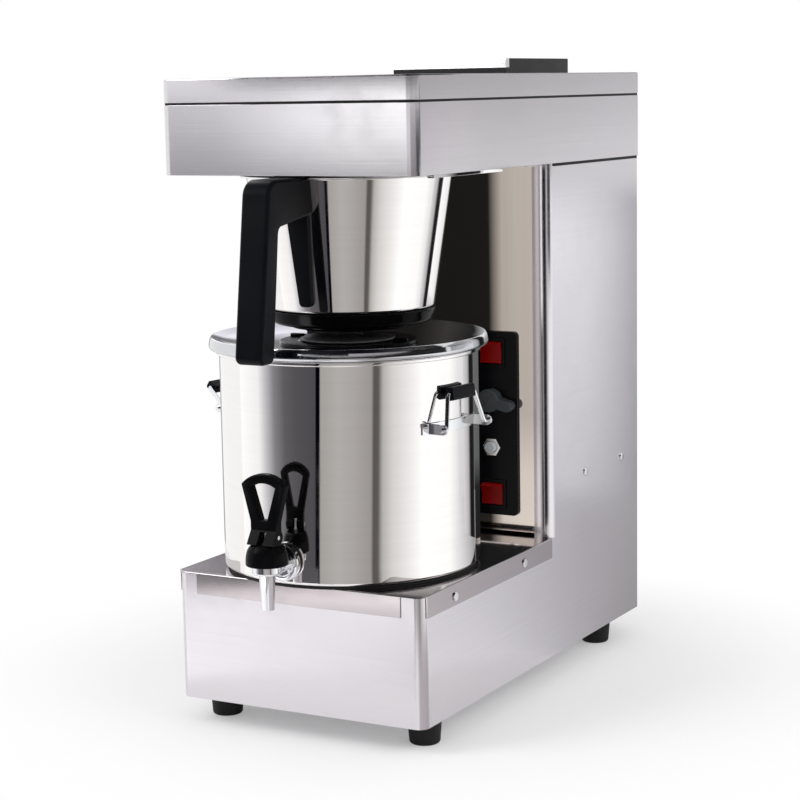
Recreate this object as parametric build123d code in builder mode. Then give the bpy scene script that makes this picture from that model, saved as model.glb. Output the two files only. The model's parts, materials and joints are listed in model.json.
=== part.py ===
from build123d import *
import os
from math import cos, hypot, radians, sin

os.makedirs("parts", exist_ok=True)

# Filter coffee brewer, millimetres. X to the right, Y to the back, Z up from the counter.
# The origin is on the counter, under the middle of the cabinet.

# Cabinet
cabinet_width = 260.0
cabinet_depth = 492.0
foot_height = 25.0
base_height = 120.0
band_height = 62.5
cover_height = 23.5
bay_depth = 270.0
sheet = 1.2
corner_radius = 10.0
column_corner_radius = 11.0
column_return = 18.0
top_edge_radius = 1.6
bend_edge = 1.0
fit = 0.3
running_gap = 0.05

# Deck plate and warmer
flange_drop = 20.0
flange_notch = 23.0
flange_start = 8.0
deck_gap = 3.0
warmer_radius = 88.0
warmer_step = 5.0
warmer_thickness = 3.0
element_radius = 62.0
element_width = 12.0
element_height = 8.0

# Feet and screws
foot_top_radius = 16.0
foot_base_radius = 14.0
foot_edge = 2.0
foot_side_inset = 24.0
foot_front_inset = 44.0
foot_back_inset = 62.0
screw_head_radius = 4.2
screw_head_height = 1.6
flange_screw_distances = (61.0, 206.0)
flange_screw_drop = 11.5
side_screw_distances = (354.0, 448.0)
side_screw_rise = 52.0

# Seam strip under the top cover
seam_strip = 2.0
seam_inset = 0.5
seam_strip_width = 6.0
band_flange = 9.0

# Fill lid, its hinges and the basin under it
fill_lid_width = 126.0
fill_lid_depth = 152.0
fill_lid_height = 15.0
fill_lid_distance = 315.0
fill_lid_wall = 2.0
fill_lid_radius = 4.0
fill_lid_lift = 0.4
lip_height = 9.0
lip_depth = 8.0
lip_wall = 1.2
lip_edge = 0.96
fill_rim = 10.0
basin_depth = 32.0
basin_flange = 5.0
hinge_radius = 3.6
hinge_offset = 4.6
hinge_pin_radius = 1.5
hinge_length = 26.0
lid_knuckle_length = 12.0
hinge_spacing = 80.0
leaf_depth = 14.0
knuckle_clearance = 1.8

# Brew basket and its rails
basket_distance = 112.0
basket_clearance = 3.0
basket_height = 123.2
basket_headroom = 2.3
basket_rim_radius = 100.0
basket_rim_thickness = 1.5
cone_top_radius = 94.6
cone_bottom_radius = 76.9
cone_edge = 3.0
basket_wall = 1.0
base_ring_height = 13.0
base_ring_radius = 78.4
base_ring_foot = 74.9
drain_step_radius = 58.0
drain_step = 4.0
nozzle_radius = 11.0
nozzle_length = 3.5
drain_bore = 5.0
rail_gap = 0.4
rail_start = 86.0
rail_end = 226.0
rail_drop = 5.3
screen_height = 7.0
screen_radius = 66.0
screen_wall = 1.5
screen_slots = 8
screen_slot_length = 34.0
screen_slot_width = 9.0
screen_slot_radius = 38.0

# Basket handle: reaches are outwards from the basket's axis, and drops are from the basket's top
handle_width = 28.0
grip_top_reach = 160.0
grip_bottom_reach = 181.0
grip_overhang = 10.0
grip_top_depth = 15.0
grip_bottom_depth = 23.0
grip_corner = 16.0
grip_inner_corner = 7.0
grip_tip_edge = 7.0
handle_rise = 0.9
arm_root_drop = 29.7
arm_grip_drop = 40.7
arm_edge_start = 4.0
arm_step = 1.5
tongue_width = 22.0
tongue_tip_width = 12.0
tongue_lift = 7.5
tongue_edge = 4.0
tongue_thickness = 5.0
handle_edge = 3.5
handle_screw_drops = (17.7, 77.7)
handle_screw_radius = 3.5
handle_screw_head = 2.0

# Urn
urn_distance = 104.5
urn_height = 216.0
urn_radius = 120.0
urn_wall = 1.0
urn_base_height = 3.0
urn_base_inset = 3.0
urn_base_width = 5.0
flare_height = 16.0
urn_bottom_radius = 3.0
bead_height = 4.0
bead_depth = 2.4
bead_edge = 1.6
gasket_height = 7.0
gasket_width = 5.0
liner_gap = 12.0
liner_lift = 6.5
rim_radius = 129.5
rim_thickness = 1.2
rim_belly_radius = 127.6
rim_belly_fall = 7.6
dish_radius = 100.0
dish_fall = 7.0
neck_fall = 2.0
neck_radius = 60.0
neck_depth = 7.0
lid_fit = 0.4
lid_flange_width = 4.4
lid_flange_height = 3.0
lid_seat_radius = 46.0
lid_seat_height = 1.0
lid_cap_radius = 43.5
lid_cap_edge = 1.0
lid_cap_rise = 2.6
lid_hole_radius = 13.0
tab_reach = 55.0
tab_length = 14.0
tab_width = 5.0
tab_height = 3.0

# Faucet, and its lever with heights above the bonnet
faucet_lift = 19.5
shank_radius = 8.0
shank_bore = 3.0
barrel_radius = 13.5
barrel_height = 13.1
spout_length = 32.5
spout_top_radius = 7.6
spout_tip_radius = 5.8
spout_bore = 4.2
chamber_radius = 9.0
chamber_lift = 1.5
collar_radius = 11.5
collar_height = 7.0
nut_radius = 17.0
nut_thickness = 6.0
nut_edge = 2.0
seal_radius = 15.0
seal_thickness = 2.0
bonnet_radius = 19.0
bonnet_shoulder = 18.0
bonnet_top_radius = 14.0
bonnet_height = 13.0
bonnet_shoulder_height = 7.8
bonnet_crown = 4.0
bonnet_gap = 3.5
lever_lift = 4.0
lever_tilt = 28.0
lever_pin_radius = 2.0
lever_foot_radius = 6.4
lever_foot_width = 26.0
lever_thickness = 9.0
lever_waist_rise = 17.1
lever_shoulder_rise = 53.1
lever_top_rise = 63.1
lever_top_width = 45.0
lever_bar = 8.5
lever_web_rise = 22.1
lever_hole_tip = 6.4
lever_edge = 2.0
stem_radius = 3.0
stem_above_pin = 4.0
cup_radius = 7.0
cup_height = 7.0
cup_edge = 2.3

# Side handles of the urn, on a diameter turned a little from the cabinet's X axis
bail_turn = 8.0
bail_drop = 76.0
bracket_half = 42.0
bracket_width = 10.0
bracket_thickness = 1.6
pivot_distance = 131.0
pivot_half = 34.5
ear_thickness = 2.4
ear_radius = 4.6
ear_length = 20.0
bail_wire = 2.0
bail_bend = 4.0
bail_stub = 39.0
bail_foot_half = 29.0
bail_top_half = 20.0
bail_length = 30.0
bail_grip_length = 34.0
bail_grip_height = 12.0
bail_grip_thickness = 8.0
bail_grip_edge = 2.0
right_bail_tilt = -9.0
left_bail_tilt = 58.0

# Control panel
panel_x = 67.0
panel_rise = 110.5
panel_width = 54.0
panel_height = 183.0
panel_thickness = 3.0
panel_radius = 5.0
switch_pitch = 47.0
rocker_radius = 11.0
rocker_width = 22.0
rocker_tilt = 8.0
rocker_face = 6.4
rocker_dish = 2.6
rocker_gap = 0.4
rocker_sink = 1.2
frame_width = 3.0
frame_height = 1.6
knob_radius = 11.5
knob_height = 11.0
knob_edge = 1.5
knob_wing_reach = 26.0
knob_wing_width = 11.0
knob_turn = -14.0
knob_shaft_radius = 3.0
knob_shaft_length = 14.0
button_radius = 5.6
button_height = 8.0
button_tail = 6.0
button_nut_radius = 9.6
button_nut_height = 3.0
switch_body_margin = 2.5
switch_body_depth = 24.0
switch_pocket = 8.0

# Water works inside the cabinet
tank_distance = 385.0
tank_radius = 78.0
tank_lift = 60.0
tank_height = 250.0
shelf_depth = 150.0
tube_radius = 6.0
tube_wall = 1.0
tube_bend = 18.0
tube_rise = 35.0
outlet_offset = 50.0
heater_radius = 4.0
heater_half = 22.0
heater_clearance = 20.0
heater_offset = 40.0
heater_tail = 12.0
probe_radius = 4.0
probe_x = 45.0
probe_length = 100.0
probe_box = 24.0
probe_box_height = 18.0
spray_radius = 28.0
spray_drop = 1.4
spray_lip = 3.0
spray_height = 7.0
spray_chamber_radius = 22.0
spray_chamber_height = 3.0
spray_hole_radius = 2.0
spray_holes = 6
spray_circle_radius = 16.0
fill_tube_radius = 9.0
fill_tube_lift = 30.0

# Back
vent_width = 60.0
vent_height = 4.0
vent_pitch = 14.0
vent_rows = 5
vent_rise = 275.0
gland_x = 70.0
gland_lift = 50.0
gland_radius = 11.0
gland_nut_radius = 16.0
gland_nut_height = 5.0
gland_reach = 14.0
gland_inside = 8.0
gland_bore = 5.0

# Places worked out from the sizes above
front = -cabinet_depth / 2
back = cabinet_depth / 2
half_width = cabinet_width / 2
shell_half = half_width - sheet
column_front = front + bay_depth
panel_face = column_front + sheet
deck_height = foot_height + base_height
rim_height = deck_height + urn_height
urn_body_top = rim_height - flare_height
bail_height = rim_height - bail_drop
cone_bottom = rim_height + basket_clearance + nozzle_length + drain_step + base_ring_height
basket_top = cone_bottom + basket_height
head_bottom = basket_top + basket_headroom
seam_height = head_bottom + band_height
top_height = seam_height + cover_height
barrel_bottom = deck_height + faucet_lift
barrel_top = barrel_bottom + barrel_height
chamber_floor = barrel_bottom + chamber_lift
panel_middle = deck_height + panel_rise
tank_bottom = deck_height + tank_lift
tank_top = tank_bottom + tank_height
deck_under = deck_height - sheet
column_top = seam_height - sheet
urn_y = front + urn_distance
basket_y = front + basket_distance
tank_y = front + tank_distance
faucet_y = urn_y - urn_radius - seal_thickness - nut_thickness - bonnet_gap - bonnet_radius
shank_height = chamber_floor + shank_bore + fit
fill_front = front + fill_lid_distance
fill_back = fill_front + fill_lid_depth
fill_y = (fill_front + fill_back) / 2

urn_axis = Axis((0, urn_y, 0), (0, 0, 1))
basket_axis = Axis((0, basket_y, 0), (0, 0, 1))
faucet_axis = Axis((0, faucet_y, 0), (0, 0, 1))


def upright(y):
    # Upright plane that faces the front: its x is X and its y is the height
    return Plane(origin=(0, y, 0), x_dir=(1, 0, 0), z_dir=(0, -1, 0))


def save(builder, name):
    builder.part.label = name
    export_step(builder.part, "parts/" + name + ".step")


def folded_wrap(half, front_y, radius):
    # Plan of a sheet folded round the front and both sides, open at the back
    with BuildSketch(mode=Mode.PRIVATE) as plan:
        with BuildLine():
            FilletPolyline((-half, back), (-half, front_y), (half, front_y), (half, back), radius=radius)
            Line((half, back), (half - sheet, back))
            FilletPolyline(
                (half - sheet, back),
                (half - sheet, front_y + sheet),
                (sheet - half, front_y + sheet),
                (sheet - half, back),
                radius=radius - sheet,
            )
            Line((sheet - half, back), (-half, back))
        make_face()
    return plan.sketch


def round_front(half, front_y, back_y, radius):
    # Plan of a plate whose two front corners are round
    with BuildSketch(mode=Mode.PRIVATE) as plan:
        with BuildLine():
            FilletPolyline((-half, back_y), (-half, front_y), (half, front_y), (half, back_y), radius=radius)
            Line((half, back_y), (-half, back_y))
        make_face()
    return plan.sketch


# Cabinet shell: base front and L-shaped sides, with returns folded round the column's front
base_plan = folded_wrap(shell_half, front + sheet, corner_radius)
return_half = shell_half - column_return
with BuildPart() as body_shell:
    with BuildSketch(Plane.XY.offset(foot_height)):
        add(base_plan)
    extrude(amount=deck_under - foot_height)
    with BuildSketch(Plane.XY.offset(deck_under)):
        with BuildLine():
            FilletPolyline(
                (shell_half, back),
                (shell_half, column_front),
                (return_half, column_front),
                radius=column_corner_radius,
            )
            Line((return_half, column_front), (return_half, panel_face))
            FilletPolyline(
                (return_half, panel_face),
                (shell_half - sheet, panel_face),
                (shell_half - sheet, back),
                radius=column_corner_radius - sheet,
            )
            Line((shell_half - sheet, back), (shell_half, back))
        make_face()
        mirror(about=Plane.YZ)
    extrude(amount=column_top - deck_under)
save(body_shell, "body_shell")

# Bottom plate, let into the lower edge of the shell
inner_half = shell_half - sheet
bottom_plan = round_front(inner_half, front + 2 * sheet, back - sheet, corner_radius - sheet)
with BuildPart() as bottom_plate:
    with BuildSketch(Plane.XY.offset(foot_height)):
        add(bottom_plan)
    extrude(amount=sheet)
save(bottom_plate, "bottom_plate")

# Four tapered rubber feet
foot_x = half_width - foot_side_inset
foot_rows = (front + foot_front_inset, back - foot_back_inset)
foot_places = [(side * foot_x, row, foot_height / 2) for side in (1, -1) for row in foot_rows]
with BuildPart() as rubber_feet:
    with Locations(*foot_places):
        Cone(bottom_radius=foot_base_radius, top_radius=foot_top_radius, height=foot_height)
    fillet(rubber_feet.edges().group_by(Axis.Z)[0], foot_edge)
save(rubber_feet, "rubber_feet")

# Screws with low round heads, in the deck's flanges, the column's sides and the back
with BuildPart(mode=Mode.PRIVATE) as screw_head:
    Cylinder(screw_head_radius, screw_head_height, align=(Align.CENTER, Align.CENTER, Align.MIN))
    fillet(screw_head.edges().group_by(Axis.Z)[-1], screw_head_height / 2)
flange_screws = [
    Location((side * half_width, front + distance, deck_height - flange_screw_drop), (0, side * 90, 0))
    for side in (1, -1)
    for distance in flange_screw_distances
]
side_screws = [
    Location((side * shell_half, front + distance, deck_height + side_screw_rise), (0, side * 90, 0))
    for side in (1, -1)
    for distance in side_screw_distances
]
back_screws = [
    Location((side * foot_x, back, level), (-90, 0, 0))
    for side in (1, -1)
    for level in (foot_height + foot_side_inset, head_bottom)
]
with BuildPart() as cabinet_screws:
    with Locations(*flange_screws, *side_screws, *back_screws):
        add(screw_head.part)
save(cabinet_screws, "cabinet_screws")

# Deck plate with flanges folded down over the shell, notched at the round corners
deck_plan = round_front(half_width, front, column_front, corner_radius)
side_flange = bay_depth - flange_start
with BuildPart() as deck_plate:
    with BuildSketch(Plane.XY.offset(deck_under)):
        add(deck_plan)
        with Locations((0, urn_y)):
            Circle(warmer_radius + fit, mode=Mode.SUBTRACT)
    extrude(amount=sheet)
    with BuildSketch(Plane.XY.offset(deck_height - flange_drop)):
        with Locations((0, front + sheet / 2)):
            Rectangle(2 * (half_width - flange_notch), sheet)
        with Locations((half_width - sheet / 2, column_front), (sheet / 2 - half_width, column_front)):
            Rectangle(sheet, side_flange, align=(Align.CENTER, Align.MAX))
    extrude(amount=flange_drop - sheet)
    fillet(deck_plate.faces().sort_by(Axis.Z)[-1].outer_wire().edges().sort_by(Axis.Y)[:-1], bend_edge)
save(deck_plate, "deck_plate")

# Warmer plate, flush with the deck, held by a step under the sheet
with BuildPart() as warmer_plate:
    with Locations((0, urn_y, deck_height)):
        Cylinder(warmer_radius, warmer_thickness, align=(Align.CENTER, Align.CENTER, Align.MAX))
    with Locations((0, urn_y, deck_under)):
        Cylinder(
            warmer_radius + warmer_step, warmer_thickness - sheet, align=(Align.CENTER, Align.CENTER, Align.MAX)
        )
save(warmer_plate, "warmer_plate")

with BuildPart() as warmer_element:
    with BuildSketch(Plane.XY.offset(deck_height - warmer_thickness)):
        with Locations((0, urn_y)):
            Circle(element_radius + element_width / 2)
            Circle(element_radius - element_width / 2, mode=Mode.SUBTRACT)
    extrude(amount=-element_height)
save(warmer_element, "warmer_element")

# Control panel openings, shared by the black plate and the steel sheet behind it
plate_face = panel_face - panel_thickness
switch_levels = [panel_middle + (1.5 - row) * switch_pitch for row in range(4)]
upper_level, knob_level, button_level, lower_level = switch_levels
window_width = rocker_width + 2 * rocker_gap
window_height = 2 * (rocker_radius + rocker_gap)
with BuildSketch(mode=Mode.PRIVATE) as control_openings:
    with Locations((panel_x, upper_level), (panel_x, lower_level)):
        Rectangle(window_width, window_height)
    with Locations((panel_x, knob_level)):
        Circle(knob_shaft_radius + fit)
    with Locations((panel_x, button_level)):
        Circle(button_radius + fit)

with BuildPart() as column_panel:
    with BuildSketch(upright(panel_face)):
        with Locations((0, (deck_height + deck_gap + head_bottom) / 2)):
            Rectangle(2 * inner_half - 2 * column_corner_radius, head_bottom - deck_height - deck_gap)
        add(control_openings.sketch, mode=Mode.SUBTRACT)
    extrude(amount=-sheet)
save(column_panel, "column_panel")

with BuildPart() as control_panel:
    with BuildSketch(upright(panel_face)):
        with Locations((panel_x, panel_middle)):
            RectangleRounded(panel_width, panel_height, panel_radius)
        add(control_openings.sketch, mode=Mode.SUBTRACT)
    extrude(amount=panel_thickness)
save(control_panel, "control_panel")

# Switch frames, the switches behind the sheet, and the nut round the button
with BuildPart() as switch_frames:
    with BuildSketch(upright(plate_face)):
        with Locations((panel_x, upper_level), (panel_x, lower_level)):
            Rectangle(window_width + 2 * frame_width, window_height + 2 * frame_width)
            Rectangle(window_width, window_height, mode=Mode.SUBTRACT)
    extrude(amount=frame_height)
save(switch_frames, "switch_frames")

body_size = window_height + 2 * switch_body_margin
body_face = panel_face + sheet
with BuildPart() as switch_bodies:
    with BuildSketch(upright(body_face)):
        with Locations(*[(panel_x, level) for level in switch_levels]):
            Rectangle(body_size, body_size)
    extrude(amount=-switch_body_depth)
    with BuildSketch(upright(body_face)):
        with Locations((panel_x, upper_level), (panel_x, lower_level)):
            Rectangle(window_width, window_height)
        with Locations((panel_x, button_level)):
            Circle(button_radius + fit)
    extrude(amount=-switch_pocket, mode=Mode.SUBTRACT)
    with BuildSketch(upright(body_face)):
        with Locations((panel_x, knob_level)):
            Circle(knob_shaft_radius + running_gap)
    extrude(amount=-knob_shaft_length, mode=Mode.SUBTRACT)
save(switch_bodies, "switch_bodies")

with BuildPart() as button_nut:
    with BuildSketch(upright(plate_face)):
        with Locations((panel_x, button_level)):
            RegularPolygon(button_nut_radius, 6)
            Circle(button_radius + fit, mode=Mode.SUBTRACT)
    extrude(amount=button_nut_height)
save(button_nut, "button_nut")


# Rockers: a barrel on a cross pin with a dished face, pressed at the bottom
def rocker(level):
    tilt = radians(rocker_tilt)
    middle = (panel_x - rocker_width / 2, plate_face + rocker_sink, level)
    side = Plane(origin=middle, x_dir=(0, cos(tilt), sin(tilt)), z_dir=(1, 0, 0))
    with BuildPart() as block:
        with BuildSketch(side):
            Circle(rocker_radius)
            Polygon(
                (0, -rocker_radius),
                (-rocker_face, -rocker_radius),
                (rocker_dish - rocker_face, 0),
                (-rocker_face, rocker_radius),
                (0, rocker_radius),
                align=None,
                mode=Mode.INTERSECT,
            )
        extrude(amount=rocker_width)
    return block


save(rocker(upper_level), "upper_rocker")
save(rocker(lower_level), "lower_rocker")

# Selector knob: a hub with a wing and a shaft that runs in its switch
knob_back = plate_face - fit
with BuildPart() as selector_knob:
    with BuildSketch(upright(knob_back)):
        with Locations((panel_x, knob_level)):
            Circle(knob_radius)
        with Locations(Location((panel_x, knob_level, 0), (0, 0, knob_turn))):
            with Locations((knob_wing_reach / 2, 0)):
                SlotOverall(knob_wing_reach, knob_wing_width)
    extrude(amount=knob_height)
    fillet(selector_knob.faces().sort_by(Axis.Y)[0].edges(), knob_edge)
    with BuildSketch(upright(knob_back)):
        with Locations((panel_x, knob_level)):
            Circle(knob_shaft_radius)
    extrude(amount=knob_back - body_face - knob_shaft_length + fit)
save(selector_knob, "selector_knob")

with BuildPart() as push_button:
    with BuildSketch(upright(plate_face - button_height)):
        with Locations((panel_x, button_level)):
            Circle(button_radius)
    extrude(amount=-button_height - button_tail)
    fillet(push_button.edges().group_by(Axis.Y)[0], bend_edge)
save(push_button, "push_button")

# Back panel with vent slots and the hole for the cable gland
gland_level = foot_height + gland_lift
with BuildPart() as back_panel:
    with BuildSketch(upright(back)):
        with Locations((0, foot_height)):
            Rectangle(2 * inner_half, column_top - foot_height, align=(Align.CENTER, Align.MIN))
        with Locations((0, deck_height + vent_rise)):
            with GridLocations(2 * vent_width, vent_pitch, 2, vent_rows):
                SlotOverall(vent_width, vent_height, mode=Mode.SUBTRACT)
        with Locations((gland_x, gland_level)):
            Circle(gland_radius, mode=Mode.SUBTRACT)
    extrude(amount=sheet)
save(back_panel, "back_panel")

# Cable gland in the back panel, empty
with BuildPart() as cable_gland:
    with BuildSketch(upright(back)):
        with Locations((gland_x, gland_level)):
            RegularPolygon(gland_nut_radius, 6)
    extrude(amount=-gland_nut_height)
    with BuildSketch(upright(back + gland_reach)):
        with Locations((gland_x, gland_level)):
            Circle(gland_radius)
    extrude(amount=gland_reach + gland_inside)
    with BuildSketch(upright(back + gland_reach)):
        with Locations((gland_x, gland_level)):
            Circle(gland_bore)
    extrude(amount=gland_reach + gland_inside, mode=Mode.SUBTRACT)
save(cable_gland, "cable_gland")

# Head band: front and sides of the head, with a flange turned in along its top
band_plan = folded_wrap(half_width, front, corner_radius)
flange_outer = round_front(half_width, front, back, corner_radius)
flange_reach = sheet + band_flange
flange_inner = round_front(half_width - flange_reach, front + flange_reach, back - flange_reach, sheet)
with BuildPart() as head_band:
    with BuildSketch(Plane.XY.offset(head_bottom)):
        add(band_plan)
    extrude(amount=seam_height - head_bottom)
    with BuildSketch(Plane.XY.offset(seam_height)):
        add(flange_outer)
        add(flange_inner, mode=Mode.SUBTRACT)
    extrude(amount=-sheet)
save(head_band, "head_band")

# Floor of the head, over the bay
floor_plan = round_front(shell_half, front + sheet, column_front, corner_radius - sheet)
with BuildPart() as head_floor:
    with BuildSketch(Plane.XY.offset(head_bottom)):
        add(floor_plan)
        with Locations((0, basket_y)):
            Circle(spray_radius + fit, mode=Mode.SUBTRACT)
    extrude(amount=sheet)
save(head_floor, "head_floor")

# Dark strip between the band and the top cover
strip_half = half_width - seam_inset
strip_outer = round_front(strip_half, front + seam_inset, back - seam_inset, corner_radius - seam_inset)
strip_reach = seam_inset + seam_strip_width
strip_inner = round_front(half_width - strip_reach, front + strip_reach, back - strip_reach, sheet)
with BuildPart() as cover_seal:
    with BuildSketch(Plane.XY.offset(seam_height)):
        add(strip_outer)
        add(strip_inner, mode=Mode.SUBTRACT)
    extrude(amount=seam_strip)
save(cover_seal, "cover_seal")

# Top cover: a shallow pan turned over, with the fill opening
cover_bottom = seam_height + seam_strip
opening_width = fill_lid_width - 2 * fill_rim
opening_depth = fill_lid_depth - 2 * fill_rim
cover_outer = round_front(half_width, front, back, corner_radius)
cover_inner = round_front(shell_half, front + sheet, back - sheet, corner_radius - sheet)
with BuildPart() as top_cover:
    with BuildSketch(Plane.XY.offset(cover_bottom)):
        add(cover_outer)
    extrude(amount=top_height - cover_bottom)
    fillet(top_cover.edges().group_by(Axis.Z)[-1], top_edge_radius)
    with BuildSketch(Plane.XY.offset(cover_bottom)):
        add(cover_inner)
    extrude(amount=top_height - sheet - cover_bottom, mode=Mode.SUBTRACT)
    with BuildSketch(Plane.XY.offset(top_height)):
        with Locations((0, fill_y)):
            Rectangle(opening_width, opening_depth)
    extrude(amount=-sheet, mode=Mode.SUBTRACT)
save(top_cover, "top_cover")

# Fill basin hung under the opening
basin_top = top_height - sheet
basin_floor = basin_top - basin_depth
with BuildPart() as fill_basin:
    with BuildSketch(Plane.XY.offset(basin_top)):
        with Locations((0, fill_y)):
            Rectangle(opening_width + 2 * basin_flange, opening_depth + 2 * basin_flange)
    extrude(amount=-sheet)
    with BuildSketch(Plane.XY.offset(basin_floor)):
        with Locations((0, fill_y)):
            Rectangle(opening_width, opening_depth)
    extrude(amount=basin_depth)
    with BuildSketch(Plane.XY.offset(basin_floor + sheet)):
        with Locations((0, fill_y)):
            Rectangle(opening_width - 2 * sheet, opening_depth - 2 * sheet)
    extrude(amount=basin_depth - sheet, mode=Mode.SUBTRACT)
    with BuildSketch(Plane.XY.offset(basin_floor)):
        with Locations((0, fill_y)):
            Circle(fill_tube_radius - tube_wall)
    extrude(amount=sheet, mode=Mode.SUBTRACT)
save(fill_basin, "fill_basin")

# Fill lid: bright trim round its front edge, a moulded shell and two hinge knuckles
lid_bottom = top_height + fill_lid_lift
lid_top = lid_bottom + fill_lid_height
with BuildPart() as lip_sleeve:
    with Locations((0, fill_front, lid_top)):
        Box(fill_lid_width, lip_depth, lip_height, align=(Align.CENTER, Align.MIN, Align.MAX))
    with Locations((0, fill_front + lip_wall, lid_top - lip_wall)):
        Box(
            fill_lid_width - 2 * lip_wall,
            lip_depth,
            lip_height,
            align=(Align.CENTER, Align.MIN, Align.MAX),
            mode=Mode.SUBTRACT,
        )
with BuildPart() as lid_lip:
    add(lip_sleeve.part)
    fillet(lid_lip.faces().sort_by(Axis.Y)[0].edges().sort_by(Axis.Z)[-1], lip_edge)
save(lid_lip, "lid_lip")

hinge_y = fill_back + hinge_offset
hinge_z = top_height + hinge_radius + fill_lid_lift
hinge_places = [(side * hinge_spacing / 2, hinge_y, hinge_z) for side in (1, -1)]
knuckle_room = 2 * (hinge_radius + knuckle_clearance)
along_x = (0, 90, 0)
with BuildPart() as fill_lid:
    with BuildSketch(Plane.XY.offset(lid_bottom)):
        with Locations((0, fill_y)):
            Rectangle(fill_lid_width, fill_lid_depth)
    extrude(amount=fill_lid_height)
    fillet(fill_lid.edges().filter_by(Axis.Z).sort_by(Axis.Y)[2:], fill_lid_radius)
    with BuildSketch(Plane.XY.offset(lid_bottom)):
        with Locations((0, fill_y)):
            Rectangle(fill_lid_width - 2 * fill_lid_wall, fill_lid_depth - 2 * fill_lid_wall)
    extrude(amount=fill_lid_height - fill_lid_wall, mode=Mode.SUBTRACT)
    add(lip_sleeve.part, mode=Mode.SUBTRACT)
    with Locations(*hinge_places):
        Box(lid_knuckle_length, hinge_offset, hinge_radius, align=(Align.CENTER, Align.MAX, Align.CENTER))
        Cylinder(hinge_radius, lid_knuckle_length, rotation=along_x)
        Cylinder(hinge_pin_radius + running_gap, lid_knuckle_length, rotation=along_x, mode=Mode.SUBTRACT)
save(fill_lid, "fill_lid")

# Hinge leaves on the cover: two knuckles each, either side of the lid's knuckle
with BuildPart() as hinge_leaves:
    with Locations(*hinge_places):
        Cylinder(hinge_radius, hinge_length, rotation=along_x)
    with Locations(*[(x, y, top_height) for x, y, z in hinge_places]):
        Box(hinge_length, leaf_depth, sheet, align=(Align.CENTER, Align.MIN, Align.MIN))
        Box(hinge_length, hinge_radius, hinge_radius, align=(Align.CENTER, Align.MIN, Align.MIN))
    with Locations(*hinge_places):
        Box(lid_knuckle_length + 2 * fit, knuckle_room, knuckle_room, mode=Mode.SUBTRACT)
        Cylinder(hinge_pin_radius, hinge_length, rotation=along_x, mode=Mode.SUBTRACT)
    with Locations(*[(x, hinge_y + knuckle_room / 2, top_height) for x, y, z in hinge_places]):
        Box(hinge_length, leaf_depth - knuckle_room / 2, sheet, align=(Align.CENTER, Align.MIN, Align.MIN))
save(hinge_leaves, "hinge_leaves")

with BuildPart() as hinge_pins:
    with Locations(*hinge_places):
        Cylinder(hinge_pin_radius, hinge_length, rotation=along_x)
save(hinge_pins, "hinge_pins")

# Basket rails: two angles under the head that carry the basket's rim
rim_under = basket_top - basket_rim_thickness
rail_inner = cone_top_radius + rail_gap
rail_outer = basket_rim_radius + rail_gap + sheet
rail_bottom = head_bottom - rail_drop
with BuildPart() as basket_rails:
    with BuildSketch(upright(front + rail_start)):
        with BuildLine():
            Polyline(
                (rail_inner, rail_bottom),
                (rail_outer, rail_bottom),
                (rail_outer, head_bottom),
                (rail_outer - sheet, head_bottom),
                (rail_outer - sheet, rail_bottom + sheet),
                (rail_inner, rail_bottom + sheet),
                close=True,
            )
        make_face()
        mirror(about=Plane.YZ)
    extrude(amount=rail_start - rail_end)
save(basket_rails, "basket_rails")

# Brew basket: a spun steel cone with a flat rim, a floor and a drain hole
with BuildPart() as basket_cone:
    with BuildSketch(upright(basket_y)) as cone_section:
        with BuildLine():
            Polyline(
                (drain_bore, cone_bottom),
                (cone_bottom_radius, cone_bottom),
                (cone_top_radius, rim_under),
                (basket_rim_radius, rim_under),
                (basket_rim_radius, basket_top),
                (cone_top_radius - basket_wall, basket_top),
                (cone_bottom_radius - basket_wall, cone_bottom + basket_wall),
                (drain_bore, cone_bottom + basket_wall),
                close=True,
            )
        make_face()
        fillet(cone_section.vertices().group_by(Axis.Y)[0].sort_by(Axis.X)[-1], cone_edge)
    revolve(axis=basket_axis)
save(basket_cone, "basket_cone")

# Moulded base under the cone: a tapered ring, a drain step and a nozzle
base_bottom = cone_bottom - base_ring_height
step_bottom = base_bottom - drain_step
with BuildPart() as basket_base:
    with BuildSketch(upright(basket_y)) as base_section:
        with BuildLine():
            Polyline(
                (drain_bore, step_bottom - nozzle_length),
                (nozzle_radius, step_bottom - nozzle_length),
                (nozzle_radius, step_bottom),
                (drain_step_radius, step_bottom),
                (drain_step_radius, base_bottom),
                (base_ring_foot, base_bottom),
                (base_ring_radius, cone_bottom),
                (drain_bore, cone_bottom),
                close=True,
            )
        make_face()
        fillet(base_section.vertices().group_by(Axis.Y)[2].sort_by(Axis.X)[-1], drain_step)
    revolve(axis=basket_axis)
save(basket_base, "basket_base")

# Screen that holds the filter paper off the floor of the cone
screen_floor = cone_bottom + basket_wall
with BuildPart() as filter_screen:
    with BuildSketch(Plane.XY.offset(screen_floor)):
        with Locations((0, basket_y)):
            Circle(screen_radius)
            Circle(screen_radius - screen_wall, mode=Mode.SUBTRACT)
    extrude(amount=screen_height)
    with BuildSketch(Plane.XY.offset(screen_floor + screen_height)):
        with Locations((0, basket_y)):
            Circle(screen_radius)
            with PolarLocations(screen_slot_radius, screen_slots):
                SlotOverall(screen_slot_length, screen_slot_width, mode=Mode.SUBTRACT)
    extrude(amount=-basket_wall)
save(filter_screen, "filter_screen")


def cone_radius(height):
    # Outside radius of the brew basket's cone at a height
    return cone_bottom_radius + (cone_top_radius - cone_bottom_radius) * (height - cone_bottom) / (
        rim_under - cone_bottom
    )


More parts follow.
